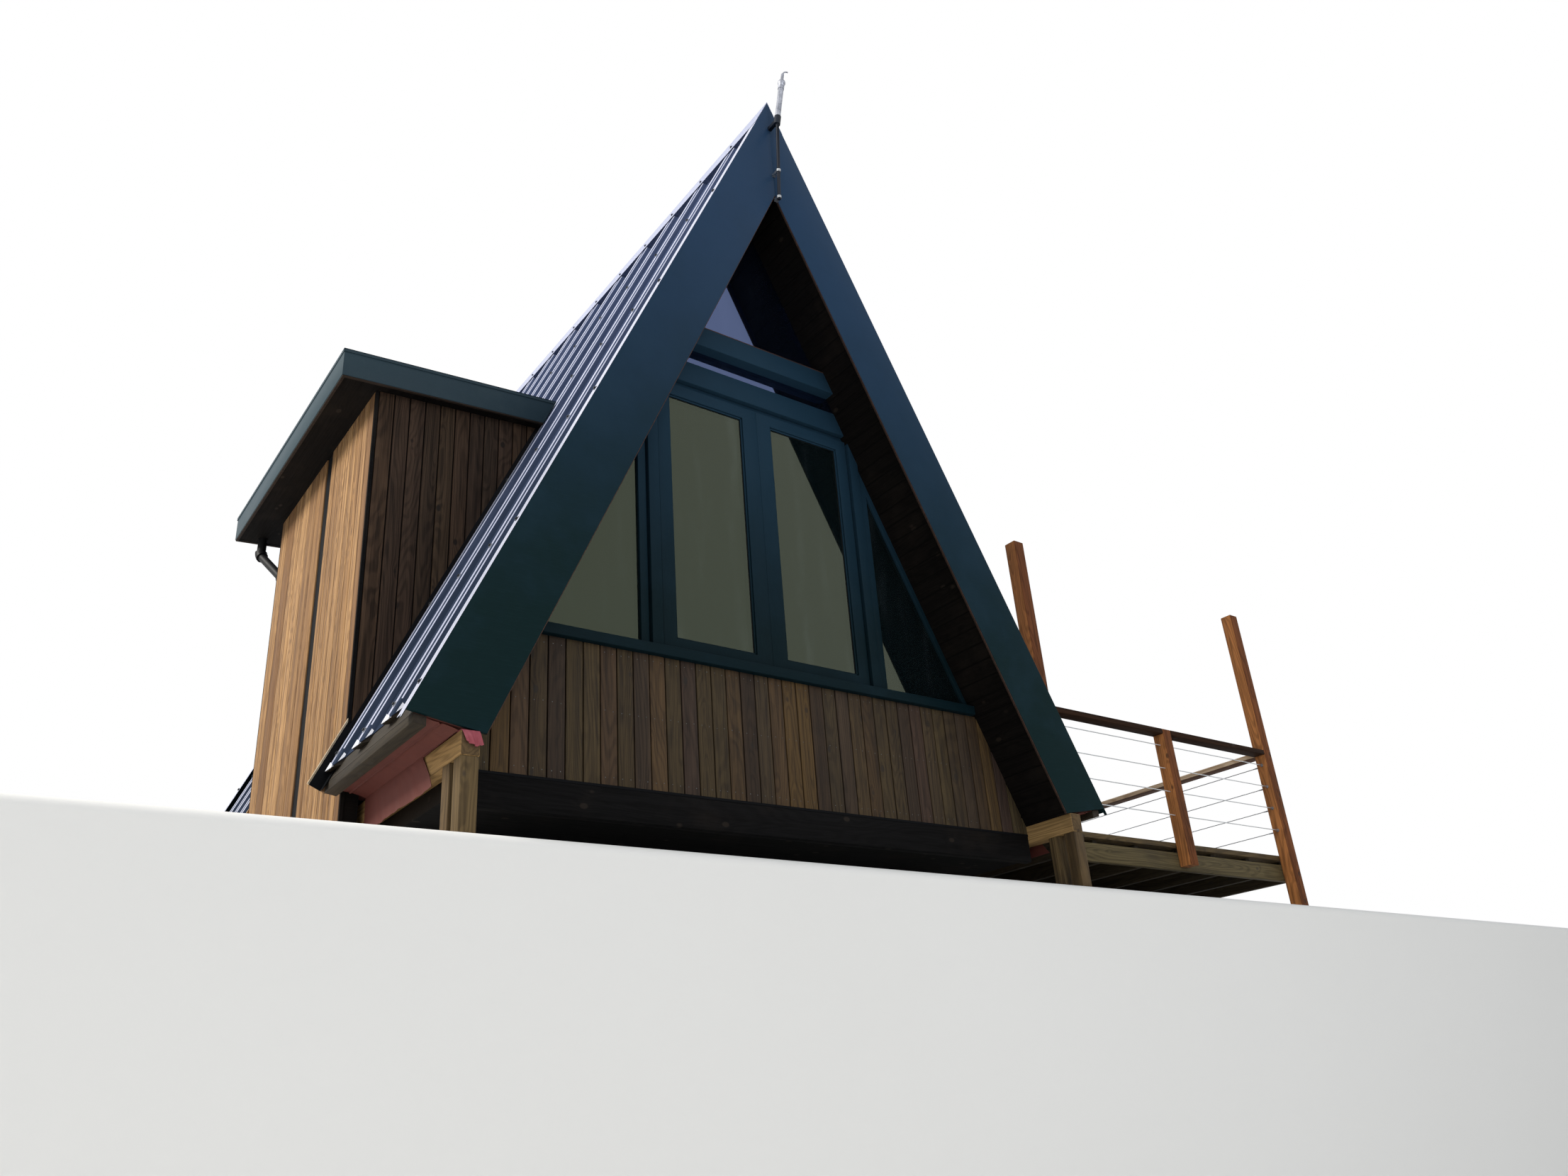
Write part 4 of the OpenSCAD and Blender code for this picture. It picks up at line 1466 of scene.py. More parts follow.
    def fixings(self) -> None:
        """Screws with washers on the crests, the laps and the capping."""
        sec = self.section
        rows = [self.screw_first + i * self.screw_step for i in range(self.screw_rows)]
        for side, word in SIDES.items():
            stock = Stock()
            out = sec.out(side)
            for row in rows:
                for y in [y for y in self.ribs() if not self.covered(side, y, row)]:
                    at = sec.at(side, row, y + self.screw_side, self.screw_proud)
                    stock.add(screw(at, out, self.screw_r), finish=None)
                for y in (self.lap_screw, sec.length - self.lap_screw):
                    at = sec.at(side, row, y, self.lap_proud)
                    stock.add(screw(at, out, self.screw_r), finish=1)
            for y in self.ribs():
                at = sec.at(side, self.cap_edge + self.cap_screw, y, self.cap_proud)
                stock.add(screw(at, out, self.cap_screw_r), finish=1)
            stock.place(f"roof_screws_{word}", [BRIGHT, DARK_SCREW], "galvanised")

    def barges(self) -> None:
        """Barge boards, parted behind their face so that the metal lap ends higher up."""
        sec = self.section
        for (side, word), tone in zip(SIDES.items(), self.barge_tones):
            for end, face, way in (("front", 0.0, 1.0), ("back", sec.length, -1.0)):
                node = f"barge_{end}_{word}"
                stock = Stock()
                seam = ALONG * (face + way * (sec.barge_t + self.seam_clear))
                turn = ALONG * way
                lap = sec.at(side, self.lap_hem, 0.0), -sec.up(side)
                for cuts in ([(seam, turn)], [(seam, -turn), lap]):
                    stock.add(trimmed(carried(node, self.barge_edge), cuts), tone)
                stock.place(f"{node}_board", [TRIM_LEFT, LAP_PAINTED_LIGHT], "green_trim", [node],
                            self.lap_or_board)
                self.backing(side, end)

    def lap_or_board(self, face: Face) -> int:
        """Finish of a barge board's face: 1 on the metal lap, pale as painted sunlight, 0 on the
        board.
        """
        normal = face.normal
        return int(abs(normal.y) < 0.5 and normal.z > 0.2 and abs(normal.x) > 0.5)

    def backing(self, side: int, end: str) -> None:
        """Strip of bare timber that shows as a thin line along a board's inner edge.

        Args:
            side: -1 left, 1 right.
            end: "front" or "back".
        """
        sec = self.section
        deep, low = sec.barge_w, sec.barge_w + self.backing_w
        x, z = sec.foot(deep)
        toe = side * (x - self.backing_toe[0]), z - self.backing_toe[1]
        outline = [(side * x, z), (0.0, sec.ridge_at(deep)), (0.0, sec.ridge_at(low)), toe]
        face = 0.0 if end == "front" else sec.length - sec.barge_t
        start = face + self.backing_in
        stock = Stock()
        stock.add(softened(prism(outline, start, start + self.backing_t), HAIR, 1))
        stock.place(f"barge_backing_{end}_{SIDES[side]}", [REVEAL], "dark_timber")

    def panels(self) -> None:
        """Roof panels: lining inside, membrane across the feet, dark edges."""
        for side, word in SIDES.items():
            # The panels' lining faces take the painted shade.
            carry(f"roof_{word}", [LINING_PAINTED_SHADE, DARK_BEAM, MEMBRANE, BATTEN], "roof_build", 0.002, 1,
                  tone=0.4, name=f"roof_panel_{word}",
                  choose=lambda face, side=side: self.panel_side(face, side))

    def panel_side(self, face: Face, side: int) -> int:
        """Finish of a roof panel's face.

        Args:
            face: Face of the panel.
            side: -1 left, 1 right.

        Returns:
            0 for the lining, 1 for an edge, 2 for the foot, 3 for the outside.
        """
        lean = face.normal.dot(self.section.out(side))
        if abs(lean) > 0.7:
            return 3 if lean > 0 else 0
        low = face.calc_center_median().z < self.foot_z
        return 2 if low and face.normal.z < -0.5 else 1

    def eaves(self) -> None:
        """Battens, and the folded membrane below them."""
        carry("eave_battens", [BATTEN], "deck_timber", 0.003, seed=5, name="eave_batten_timber")
        dice = random.Random(8)
        start, end = self.eave_end, self.section.length - self.eave_end
        near, far = self.dormer[0] - self.eave_gap[0], self.dormer[1] + self.eave_gap[1]
        spans = {1: [(start, end)], -1: [(start, near), (far, end)]}
        for side, word in SIDES.items():
            stock = Stock()
            for run in spans[side]:
                stock.add(self.membrane(side, *run, dice))
            piece = stock.place(f"eave_membrane_{word}", [MEMBRANE], "membrane", smooth=50.0)
            length = sum(last - first for first, last in spans[side])

    def membrane(self, side: int, start: float, end: float, dice: random.Random) -> Shape:
        """Underlay drawn across the foot of the roof, with one fold along it.

        Args:
            side: -1 left, 1 right.
            start: Where it starts.
            end: Where it ends.
            dice: Seeded source of its small waves.

        Returns:
            The membrane.
        """
        upper, lower = self.draped(side)
        part = prism(upper + lower[::-1], start, end)
        count = max(int((end - start) / self.wave_step), 8)
        lengths = [e for e in part.edges if abs(e.verts[0].co.y - e.verts[1].co.y) > 0.01]
        bmesh.ops.subdivide_edges(part, edges=lengths, cuts=count, use_grid_fill=True)
        phase = [dice.uniform(0.0, 6.28) for _ in range(4)]
        for vert in part.verts:
            y = vert.co.y
            wave = math.sin(y * 9.0 + phase[0]) * 0.4 + math.sin(y * 23.0 + phase[1]) * 0.3
            wave += math.sin(y * 41.0 + vert.co.x * 30.0 + phase[2]) * 0.3
            if vert.co.z > self.turn_z:
                vert.co.z -= self.sheet_t * (1.0 + wave)
                continue
            loose = self.loose_least + self.loose_rate * max(self.loose_z - vert.co.z, 0.0)
            vert.co.x += side * loose * (1.0 + wave)
            if start == self.eave_end:
                edge = self.torn_y + self.torn_lean * (vert.co.z - self.torn_z)
                vert.co.y = edge + (y - start) * (end - edge) / (end - start)
        bmesh.ops.recalc_face_normals(part, faces=part.faces[:])
        return part

    def draped(self, side: int) -> tuple[list[Pair], list[Pair]]:
        """Upper and lower line of the membrane's section.

        Args:
            side: -1 left, 1 right.

        Returns:
            Points in X and Z along each of the two faces.
        """
        sec = self.section
        face = abs(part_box("sole_beams")[0].x - ORIGIN.x) + self.sheet_off
        x, z = sec.foot(1.0)
        down = Vector((z, 0.0, sec.half_w - x)).normalized()
        if down.z > 0:
            down = -down
        upper, lower = [], []
        for depth, drop in self.steps_in:
            x, z = sec.foot(depth)
            if x < face + 0.006:
                break
            base = Vector((x, 0.0, z)) + down * drop
            thin = base + down * self.sheet_t
            upper.append((side * base.x, base.z))
            lower.append((side * thin.x, thin.z))
        for out, z in self.hang:
            upper.append((side * (face + out - self.sheet_t), z + HAIR))
            lower.append((side * (face + out), z))
        return upper, lower

    def flap(self) -> None:
        """Loose end of the membrane, crumpled over the front of the left sole beam."""
        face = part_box("sole_beams")[0].x - ORIGIN.x
        thick, drop = self.flap_t
        inner = [(y + thick, z + drop) for y, z in self.flap_line[::-1]]
        width = self.flap_size[0]
        part = prism([*self.flap_line, *inner], face + HAIR, face + HAIR + width, Grain.X)
        across = [e for e in part.edges if abs(e.verts[0].co.x - e.verts[1].co.x) > 0.01]
        bmesh.ops.subdivide_edges(part, edges=across, cuts=14, use_grid_fill=True)
        for vert in part.verts:
            x = (vert.co.x - face) / (width + 2 * HAIR)
            hang = max(self.flap_bend - vert.co.z, 0.0)
            if hang:
                vert.co.z = self.flap_bend - hang * (1.0 - 0.45 * abs(x - self.flap_peak))
            vert.co.y -= hang * (0.1 + 0.11 * math.sin(x * 19.0) + 0.06 * math.sin(x * 43.0 + 1.0))
            vert.co.x += hang * 0.25
        bmesh.ops.recalc_face_normals(part, faces=part.faces[:])
        stock = Stock()
        stock.add(part)
        piece = stock.place("loose_membrane_flap", [FLAP], "membrane", smooth=60.0)

    def build(self) -> None:
        """Make every piece of the roof."""
        self.sheets()
        self.capping()
        self.closures()
        self.fixings()
        self.barges()
        self.panels()
        self.eaves()
        self.flap()


@dataclass
class Gable:
    """Gable walls: cladding, sill, posts, casements, frames, beams and glass."""

    section: Section = SECTION
    board_pitch: float = 0.1123
    board_gap: float = 0.008
    board_t: float = 0.02
    board_least: float = 0.012
    board_tilt: float = 0.0012
    edge: float = 0.003
    first_seam: float = -1.867
    low: float = -0.13
    high: float = 0.728
    wall_t: float = 0.14
    wall_gap: float = 0.003
    rim_half: float = 2.2116
    nail_r: float = 0.003
    nail_side: float = 0.027
    nail_room: float = 0.06
    nail_stray: float = 0.004
    nail_ends: Pair = (0.05, 0.045)
    rows_front: tuple[float, ...] = (0.32,)
    rows_back: tuple[float, ...] = (0.6, 1.3, 2.0, 2.7, 3.4, 4.1)
    leaf_z: Pair = (0.797, 2.83)
    leaf_far: float = 0.843
    rails: Pair = (0.088, 0.09)
    stiles: Pair = (0.124, 0.095)
    pane_in: float = 0.031
    bead: tuple[float, float, float] = (0.013, 0.0, 0.01)
    gasket: tuple[float, float, float] = (0.017, 0.0095, 0.0015)
    beam_low: float = 2.871
    beam_top: float = 3.334
    beam_face: float = 0.081
    edging_y: Pair = (-0.002, 0.075)
    edging_z: Pair = (-0.003, 0.0035)
    trim_y: Pair = (-0.003, 0.05)
    trim_z: Pair = (-0.012, 0.004)

    def clad(self, back: bool) -> None:
        """Board one gable on its backing.

        Args:
            back: Whether it is the back gable.
        """
        sec = self.section
        dice = random.Random(21 if back else 4)
        stock = Stock()
        face, turn = (sec.length - sec.reach, -1.0) if back else (sec.reach, 1.0)
        near, far = span(face, turn, 0.0, self.board_t)
        top = sec.ridge_at(sec.depth) if back else self.high
        cuts = sec.inside(sec.depth + HAIR)
        reach = math.ceil((self.rim_half + abs(self.first_seam)) / self.board_pitch)
        for i in range(-reach, reach * 2):
            x0 = self.first_seam + i * self.board_pitch + self.board_gap / 2
            x1 = x0 + self.board_pitch - self.board_gap
            x0, x1 = max(x0, -self.rim_half), min(x1, self.rim_half)
            if x1 - x0 < self.board_least:
                continue
            tilt = dice.uniform(-self.board_tilt, self.board_tilt)
            part = block((x0, near + tilt, self.low), (x1, far + tilt, top))
            part = softened(trimmed(part, cuts), self.edge)
            stock.add(part, dice.random())
        near, far = span(face, turn, self.board_t + self.wall_gap, self.wall_t)
        core = block((-self.rim_half, near, self.low), (self.rim_half, far, top))
        stock.add(trimmed(core, cuts), finish=1)
        self.nails(stock, face, back, dice)
        word = "back" if back else "front"
        # The boards take the cladding's darkened colour, painted shade.
        stock.place(f"gable_boards_{word}", [CLADDING_PAINTED_SHADE, DARK_BEAM, NAIL], "cladding",
                    [f"{word}_wall"])

    def nails(self, stock: Stock, face: float, back: bool, dice: random.Random) -> None:
        """Nail heads in pairs across each board, in rows.

        Args:
            stock: Gable being made up.
            face: Face of the boards.
            back: Whether it is the back gable.
            dice: Seeded source of their stray heights.
        """
        sec = self.section
        out = ALONG if back else -ALONG
        foot, head = self.low + self.nail_ends[0], self.high - self.nail_ends[1]
        rows = [foot, *self.rows_back] if back else [foot, *self.rows_front, head]
        count = int(2 * self.rim_half / self.board_pitch) + 2
        for i in range(-2, count):
            middle = self.first_seam + (i + 0.5) * self.board_pitch
            for z in rows:
                half = min(sec.half_at(z, sec.depth), self.rim_half)
                if abs(middle) + self.nail_room > half:
                    continue
                for side in SIDES:
                    stray = dice.uniform(-self.nail_stray, self.nail_stray)
                    at = Vector((middle + side * self.nail_side, face, z + stray))
                    stock.add(nail(at, out, self.nail_r), finish=2)

    def joinery(self) -> None:
        """Sill, posts, head, frames, casements and beams."""
        slot = "green_joinery"
        for node, finish, width, steps in (
            ("window_sill", JOINERY, 0.005, 3),
            ("window_posts", JOINERY_UP, 0.0025, 2),
            ("window_head", JOINERY, 0.002, 1),
            ("side_frames", JOINERY_UP, 0.0025, 2),
            ("beam_lower", JOINERY, 0.004, 2),
            ("beam_upper", JOINERY, 0.004, 2),
        ):
            carry(node, [finish], slot, width, steps, seed=1)
        for side, word in SIDES.items():
            stock = Stock()
            stock.add(carried(f"casement_{word}", self.edge))
            self.glazing_beads(stock, side)
            stock.place(f"casement_leaf_{word}", [JOINERY_UP, GASKET], slot,
                        [f"casement_{word}"])

    def glazing_beads(self, stock: Stock, side: int) -> None:
        """Beads and black gaskets round a casement's pane.

        Args:
            stock: Casement being made up.
            side: -1 left, 1 right.
        """
        low, high = self.leaf_z[0] + self.rails[0], self.leaf_z[1] - self.rails[1]
        near, far = self.stiles[0], self.leaf_far - self.stiles[1]
        pane = self.section.reach + self.pane_in
        for finish, (width, inset, depth) in enumerate((self.bead, self.gasket)):
            bars = [
                ((near, low), (far, low + width)),
                ((near, high - width), (far, high)),
                ((near, low), (near + width, high)),
                ((far - width, low), (far, high)),
            ]
            for (xa, za), (xb, zb) in bars:
                left, right = sorted((side * xa, side * xb))
                part = block((left, pane + inset, za), (right, pane + inset + depth, zb))
                stock.add(part if finish else softened(part, self.edge), finish=finish)

    def trims(self) -> None:
        """Line of flashing on the upper beam and the black trim below the boards."""
        sec = self.section
        half = sec.half_at(self.beam_top, sec.depth) + 2 * HAIR
        front = sec.reach - self.beam_face
        (y0, y1), (z0, z1) = self.edging_y, self.edging_z
        low, high = (self.beam_top + z for z in (z0, z1))
        part = block((-half, front + y0, low), (half, front + y1, high))
        stock = Stock()
        stock.add(softened(trimmed(part, sec.inside(sec.depth)), 0.0012, 1))
        stock.place("upper_beam_edging", [REVEAL], "dark_timber")
        (y0, y1), (z0, z1) = self.trim_y, self.trim_z
        part = block((-self.rim_half, sec.reach + y0, self.low + z0),
                     (self.rim_half, sec.reach + y1, self.low + z1))
        stock = Stock()
        stock.add(softened(part, HAIR, 1))
        stock.place("cladding_foot_trim", [FLASHING], "dark_timber")

    def build(self) -> None:
        """Make every piece of both gables."""
        self.clad(False)
        self.clad(True)
        self.joinery()
        self.trims()
        dress("casement_glass", GLASS)
        # Glass above the lower beam takes the painted sky reflection.
        dress("fixed_glass", GLASS, GLASS_PAINTED_SKY, self.beam_low)


@dataclass
class Dormer:
    """Dormer: boarded walls, roof, fascia boards, flashings and downpipe."""

    section: Section = SECTION
    near: float = 1.39
    far: float = 3.55
    outer: float = -2.463
    inner: float = -0.9
    wall_t: float = 0.11
    wall_gap: float = 0.002
    board_t: float = 0.018
    seam: float = 0.0045
    edge: float = 0.0025
    thin_edge: float = 0.002
    corner_w: float = 0.024
    end_pitch: float = 0.107
    near_pitch: float = 0.12
    far_pitch: float = 0.18
    joint_y: float = 2.355
    joint_w: float = 0.12
    joint_in: float = 0.009
    ground: float = -0.6
    sheet_in: float = 0.046
    core_in: float = 0.02
    roof_out: float = 2.717
    top: float = 2.908
    fall: float = 0.063
    over_top: float = 0.1
    fascia_h: float = 0.2
    fascia_t: float = 0.024
    fascia_up: float = 0.14
    front_reach: float = 0.093
    back_reach: float = 0.43
    strip_z: Pair = (-0.0075, 0.001)
    drip_t: float = 0.004
    drip_end: float = 0.005
    drip_z: Pair = (-0.018, 0.006)
    drip_line: Outline = ((-0.004, -0.018), (-0.004, 0.006), (0.06, 0.0102), (0.06, 0.0072),
                          (-0.002, 0.0032), (-0.002, -0.018))
    drip_deep: float = 0.055
    drip_under: float = 0.0025
    upstand: float = 0.058
    upstand_t: float = 0.005
    fin: float = 0.074
    fin_t: float = 0.006
    fin_up: float = 0.3
    fin_lap: float = 0.05
    flange_w: float = 0.07
    flange_t: float = 0.0035
    flash_foot: float = 0.012
    flash_in: float = -0.04
    flash_head: float = 0.03
    pale_h: float = 0.011
    pale_y: Pair = (-0.002, 0.008)
    edge_up: Pair = (0.02, 0.1)
    edge_out: Pair = (-0.075, 0.045)
    edge_y: Pair = (0.001, 0.019)
    pipe_at: Pair = (-2.399, 3.614)
    pipe_r: float = 0.034
    clip_z: Pair = (0.22, 1.2)
    clip_h: float = 0.03
    clip_t: float = 0.004
    arm_w: float = 0.011
    plate_w: float = 0.02
    plate_z: float = 0.012

    @property
    def out(self) -> Vector:
        """Direction straight out of the dormer's roof."""
        return Vector((-self.fall, 0.0, 1.0)).normalized()

    @property
    def low(self) -> float:
        """Height of the fascia's lower edge."""
        return self.top - self.fascia_h

    def soffit(self) -> Cut:
        """Cut along the underside of the roof."""
        return Vector((-self.roof_out, 0.0, self.low)), self.out

    def band(self, top: float, low: float, deep: float) -> list[Cut]:
        """Cuts that leave a band along the dormer's roof, above the cabin's own.

        Args:
            top: Height of the band's top at the outer edge.
            low: Height of its underside there.
            deep: Depth in the cabin's roof at which it ends.

        Returns:
            The three cuts.
        """
        x = -self.roof_out
        return [(Vector((x, 0.0, top)), self.out), (Vector((x, 0.0, low)), -self.out),
                self.section.over(-1, deep)]

    def end_wall(self, back: bool) -> None:
        """Board the front or the back of the dormer.

        Args:
            back: Whether it is the back.
        """
        dice = random.Random(31 if back else 12)
        face, turn = (self.far, -1.0) if back else (self.near, 1.0)
        y0, y1 = span(face, turn, 0.0, self.board_t)
        cuts = [self.section.over(-1, self.sheet_in), self.soffit()]
        stock = Stock()
        x = self.outer + self.corner_w
        corner = block((self.outer, y0, self.ground), (x, y1, self.top))
        stock.add(softened(trimmed(corner, cuts[1:]), self.thin_edge, 1), 0.1, 1)
        while x < self.inner:
            part = block((x + self.seam, y0, self.ground),
                         (x + self.end_pitch - self.seam, y1, self.top + self.over_top))
            inside = x + self.end_pitch > self.outer + self.wall_t
            trimmed(part, cuts if inside else cuts[1:])
            if len(part.faces) > 3:
                stock.add(softened(part, self.edge), dice.random())
            else:
                part.free()
            x += self.end_pitch
        y0, y1 = span(face, turn, self.board_t + self.wall_gap, self.wall_t)
        core = block((self.outer + self.wall_t, y0, 0.0),
                     (self.inner, y1, self.top + self.over_top))
        stock.add(trimmed(core, cuts), finish=1)
        word = "back" if back else "front"
        # The end boards take the darkened colour, painted shade.
        stock.place(f"dormer_boards_{word}", [DORMER_BOARDS_PAINTED_SHADE, DARK_BEAM], "cladding",
                    [f"dormer_{word}_wall"])

    def side_wall(self) -> None:
        """Board the side of the dormer, with its upright joint."""
        dice = random.Random(17)
        stock = Stock()
        cut = [self.soffit()]
        x0, x1 = self.outer, self.outer + self.board_t
        low, high = self.joint_y - self.joint_w / 2, self.joint_y + self.joint_w / 2
        for first, last, pitch in ((self.near, low, self.near_pitch),
                                   (high, self.far, self.far_pitch)):
            count = round((last - first) / pitch)
            for i in range(count):
                start = first + i * (last - first) / count
                end = start + (last - first) / count
                part = block((x0, start + self.seam, self.ground), (x1, end - self.seam, self.top))
                stock.add(softened(trimmed(part, cut), self.seam), dice.random())
        joint = block((x0 + self.joint_in, low, self.ground), (x1, high, self.top))
        stock.add(softened(trimmed(joint, cut), HAIR, 1), 0.2, 1)
        core = block((x1 + self.wall_gap, self.near + self.core_in, self.ground),
                     (self.outer + self.wall_t, self.far - self.core_in, self.top))
        stock.add(trimmed(core, cut), finish=2)
        stock.place("dormer_boards_side", [WARM_BOARDS, FLASHING, DARK_BEAM],
                    "dormer_cladding", ["dormer_side_wall"])

    def fascia(self) -> None:
        """Three fascia boards, mitred at the corners, over a thin edge strip."""
        y0, y1 = self.near - self.front_reach, self.far + self.back_reach
        x0, low = -self.roof_out, self.low
        for word, face, turn in (("front", y0, 1.0), ("back", y1, -1.0)):
            start, end = span(face, turn, 0.0, self.fascia_t)
            mitre = Vector((x0, face, 0.0)), Vector((-1.0, turn, 0.0)).normalized()
            stock = Stock()
            board = block((x0, start, low), (self.inner, end, self.top + self.fascia_up))
            cuts = [*self.band(self.top, low, HAIR), mitre]
            stock.add(softened(trimmed(board, cuts), self.edge), 0.2)
            edge = block((x0 + 0.006, start + 0.004, low - 0.008),
                         (self.inner, end - 0.002, low + self.fascia_up))
            under, above = self.strip_z
            cuts = [*self.band(low + above, low + under, HAIR), mitre]
            stock.add(trimmed(edge, cuts), finish=1)
            stock.place(f"dormer_fascia_{word}", [FASCIA, EDGE_STRIP], "green_trim",
                        ["dormer_fascia"])
        stock = Stock()
        board = block((x0, y0, low), (x0 + self.fascia_t, y1, self.top))
        cuts = [(Vector((x0, face, 0.0)), Vector((1.0, turn, 0.0)).normalized())
                for face, turn in ((y0, -1.0), (y1, 1.0))]
        stock.add(softened(trimmed(board, cuts), self.edge), 0.9)
        edge = block((x0 + 0.004, y0 + 0.006, low - 0.007),
                     (x0 + self.fascia_t - 0.002, y1 - 0.006, low + HAIR))
        stock.add(edge, finish=1)
        stock.place("dormer_fascia_side", [FASCIA, EDGE_STRIP], "green_trim", ["dormer_fascia"])
        self.drip_edge(y0, y1)

    def drip_edge(self, y0: float, y1: float) -> None:
        """Folded metal edge along the top of the fascia boards.

        Args:
            y0: Front face of the fascia.
            y1: Back face of the fascia.
        """
        x0, z = -self.roof_out, self.top
        stock = Stock()
        outline = [(x0 + x, z + up) for x, up in self.drip_line]
        stock.add(prism(outline, y0 - self.drip_end, y1 + self.drip_end))
        low, top = self.drip_z
        for face, turn in ((y0, 1.0), (y1, -1.0)):
            for deep, under in ((self.drip_deep, self.drip_under), (-0.002, low)):
                start, end = span(face, turn, -self.drip_end, deep)
                part = block((x0 - self.drip_t, start, z - self.fascia_h),
                             (self.inner, end, z + self.fascia_h))
                stock.add(trimmed(part, self.band(z + top, z + under, -HAIR)))
        stock.place("dormer_drip_edge", [FASCIA], "green_trim", smooth=20.0)

    def flashings(self) -> None:
        """Black upstands where the end walls meet the roof sheet, and the cut edges' boards."""
        sec = self.section
        out = sec.out(-1)
        wall = (sec.half_w - abs(self.outer)) / math.cos(sec.angle) + sec.drip
        foot, corner, beyond, head = (
            sec.at(-1, up, 0.0, self.flash_in)
            for up in (self.flash_foot, wall - self.fin_lap, wall + self.fin_up, self.meet_up())
        )
        upright = [(ACROSS * (self.outer + 0.004), ACROSS)]
        stock = Stock()
        for face, turn in ((self.near, -1.0), (self.far, 1.0)):
            for start, end, rise, thick, cuts in (
                (corner, head, self.upstand, self.upstand_t, []),
                (foot, beyond, self.fin, self.fin_t, upright),
            ):
                corners = [start, end, end + out * rise, start + out * rise]
                part = trimmed(strip(corners, span(face, turn, HAIR, thick)), cuts)
                stock.add(softened(part, HAIR, 1))
            flange = [foot, head, head + out * self.flange_t, foot + out * self.flange_t]
            stock.add(strip(flange, span(face, turn, HAIR, self.flange_w)))
            tips = [foot + out * self.fin, beyond + out * self.fin]
            corners = [*tips, tips[1] + out * self.pale_h, tips[0] + out * self.pale_h]
            part = trimmed(strip(corners, span(face, turn, *self.pale_y)), upright)
            stock.add(softened(part, HAIR, 1), finish=1)
        stock.place("dormer_flashing", [FLASHING, PALE_STRIP], "dark_timber")
        stock = Stock()
        foot, head = sec.at(-1, self.edge_up[0], 0.0), sec.at(-1, wall + self.edge_up[1], 0.0)
        under, above = (out * far for far in self.edge_out)
        for face, turn in ((self.near, 1.0), (self.far, -1.0)):
            corners = [foot + under, head + under, head + above, foot + above]
            part = strip(corners, span(face, turn, *self.edge_y))
            trimmed(part, [(ACROSS * (self.outer - HAIR), ACROSS)])
            stock.add(softened(part, self.thin_edge, 1), 0.6)
        stock.place("roof_cut_edge_boards", [WARM_BOARDS], "dormer_cladding")

    def meet_up(self) -> float:
        """Distance up the slope at which the soffit meets the sheet.

        Returns:
            The distance, a little short of the meeting.
        """
        sec = self.section
        rise = sec.ridge_at(sec.sheet_depth) - self.low - self.roof_out * self.fall
        x = rise / (sec.rise / sec.half_w - self.fall)
        return (sec.half_w - x) / math.cos(sec.angle) + sec.drip - self.flash_head

    def pipe(self) -> None:
        """Downpipe, with clips that hold it to the back wall."""
        stock = Stock()
        stock.add(carried("downpipe"))
        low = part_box("downpipe")[0].z - ORIGIN.z
        x, y = self.pipe_at
        for z in (low + up for up in self.clip_z):
            top = z + self.clip_h
            ring = rod(Vector((x, y, z)), Vector((x, y, top)), self.pipe_r + self.clip_t, 40)
            arm = block((x - self.arm_w, self.far - self.clip_t, z + self.clip_t),
                        (x + self.arm_w, y - 0.02, top - self.clip_t))
            plate = block((x - self.plate_w, self.far - 0.002, z - self.plate_z),
                          (x + self.plate_w, self.far + self.clip_t, top + self.plate_z))
            for part, edge, steps in ((ring, 0.0015, 2), (arm, 0.002, 1), (plate, 0.0015, 1)):
                stock.add(softened(part, edge, steps))
        stock.place("downpipe_with_clips", [PIPE], "pipe", ["downpipe"], smooth=38.0)

    def build(self) -> None:
        """Make every piece of the dormer."""
        self.end_wall(False)
        self.end_wall(True)
        self.side_wall()
        # The underside of the dormer roof takes the lining's painted shade.
        carry("dormer_roof", [ROOF_FELT, LINING_PAINTED_SHADE], "membrane", self.thin_edge, 1, tone=0.3,
              name="dormer_roof_deck", choose=lambda face: int(face.normal.z <= 0.5))
        self.fascia()
        self.flashings()
        self.pipe()


@dataclass
class Mast:
    """Mast at the ridge with its conduit and clamps."""

    smooth: float = 40.0

    def build(self) -> None:
        """Bring the three nodes over, with their round faces shaded smooth."""
        for node, finish, slot in (("mast", MAST, "galvanised"), ("conduit", CONDUIT, "pipe"),
                                   ("mast_clamps", BRIGHT, "galvanised")):
            carry(node, [finish], slot, smooth=self.smooth)


@dataclass
class Footing:
    """Sole beams, legs, rim beams and floor."""

    beam_edge: float = 0.006
    leg_edge: float = 0.005
    rim_edge: float = 0.004

    def build(self) -> None:
        """Make the pieces that carry the cabin, the floor with boards on its top."""
        carry("sole_beams", [SOLE], "sole", self.beam_edge, seed=3)
        carry("legs", [LEG], "deck_timber", self.leg_edge, seed=6)
        carry("rim_beams", [DARK_BEAM], "dark_timber", self.rim_edge, seed=9)
        carry("floor", [FLOOR_BOARDS, DARK_BEAM], "floor", 0.002, 1, name="floor_cassette",
              choose=lambda face: int(face.normal.z <= 0.5))


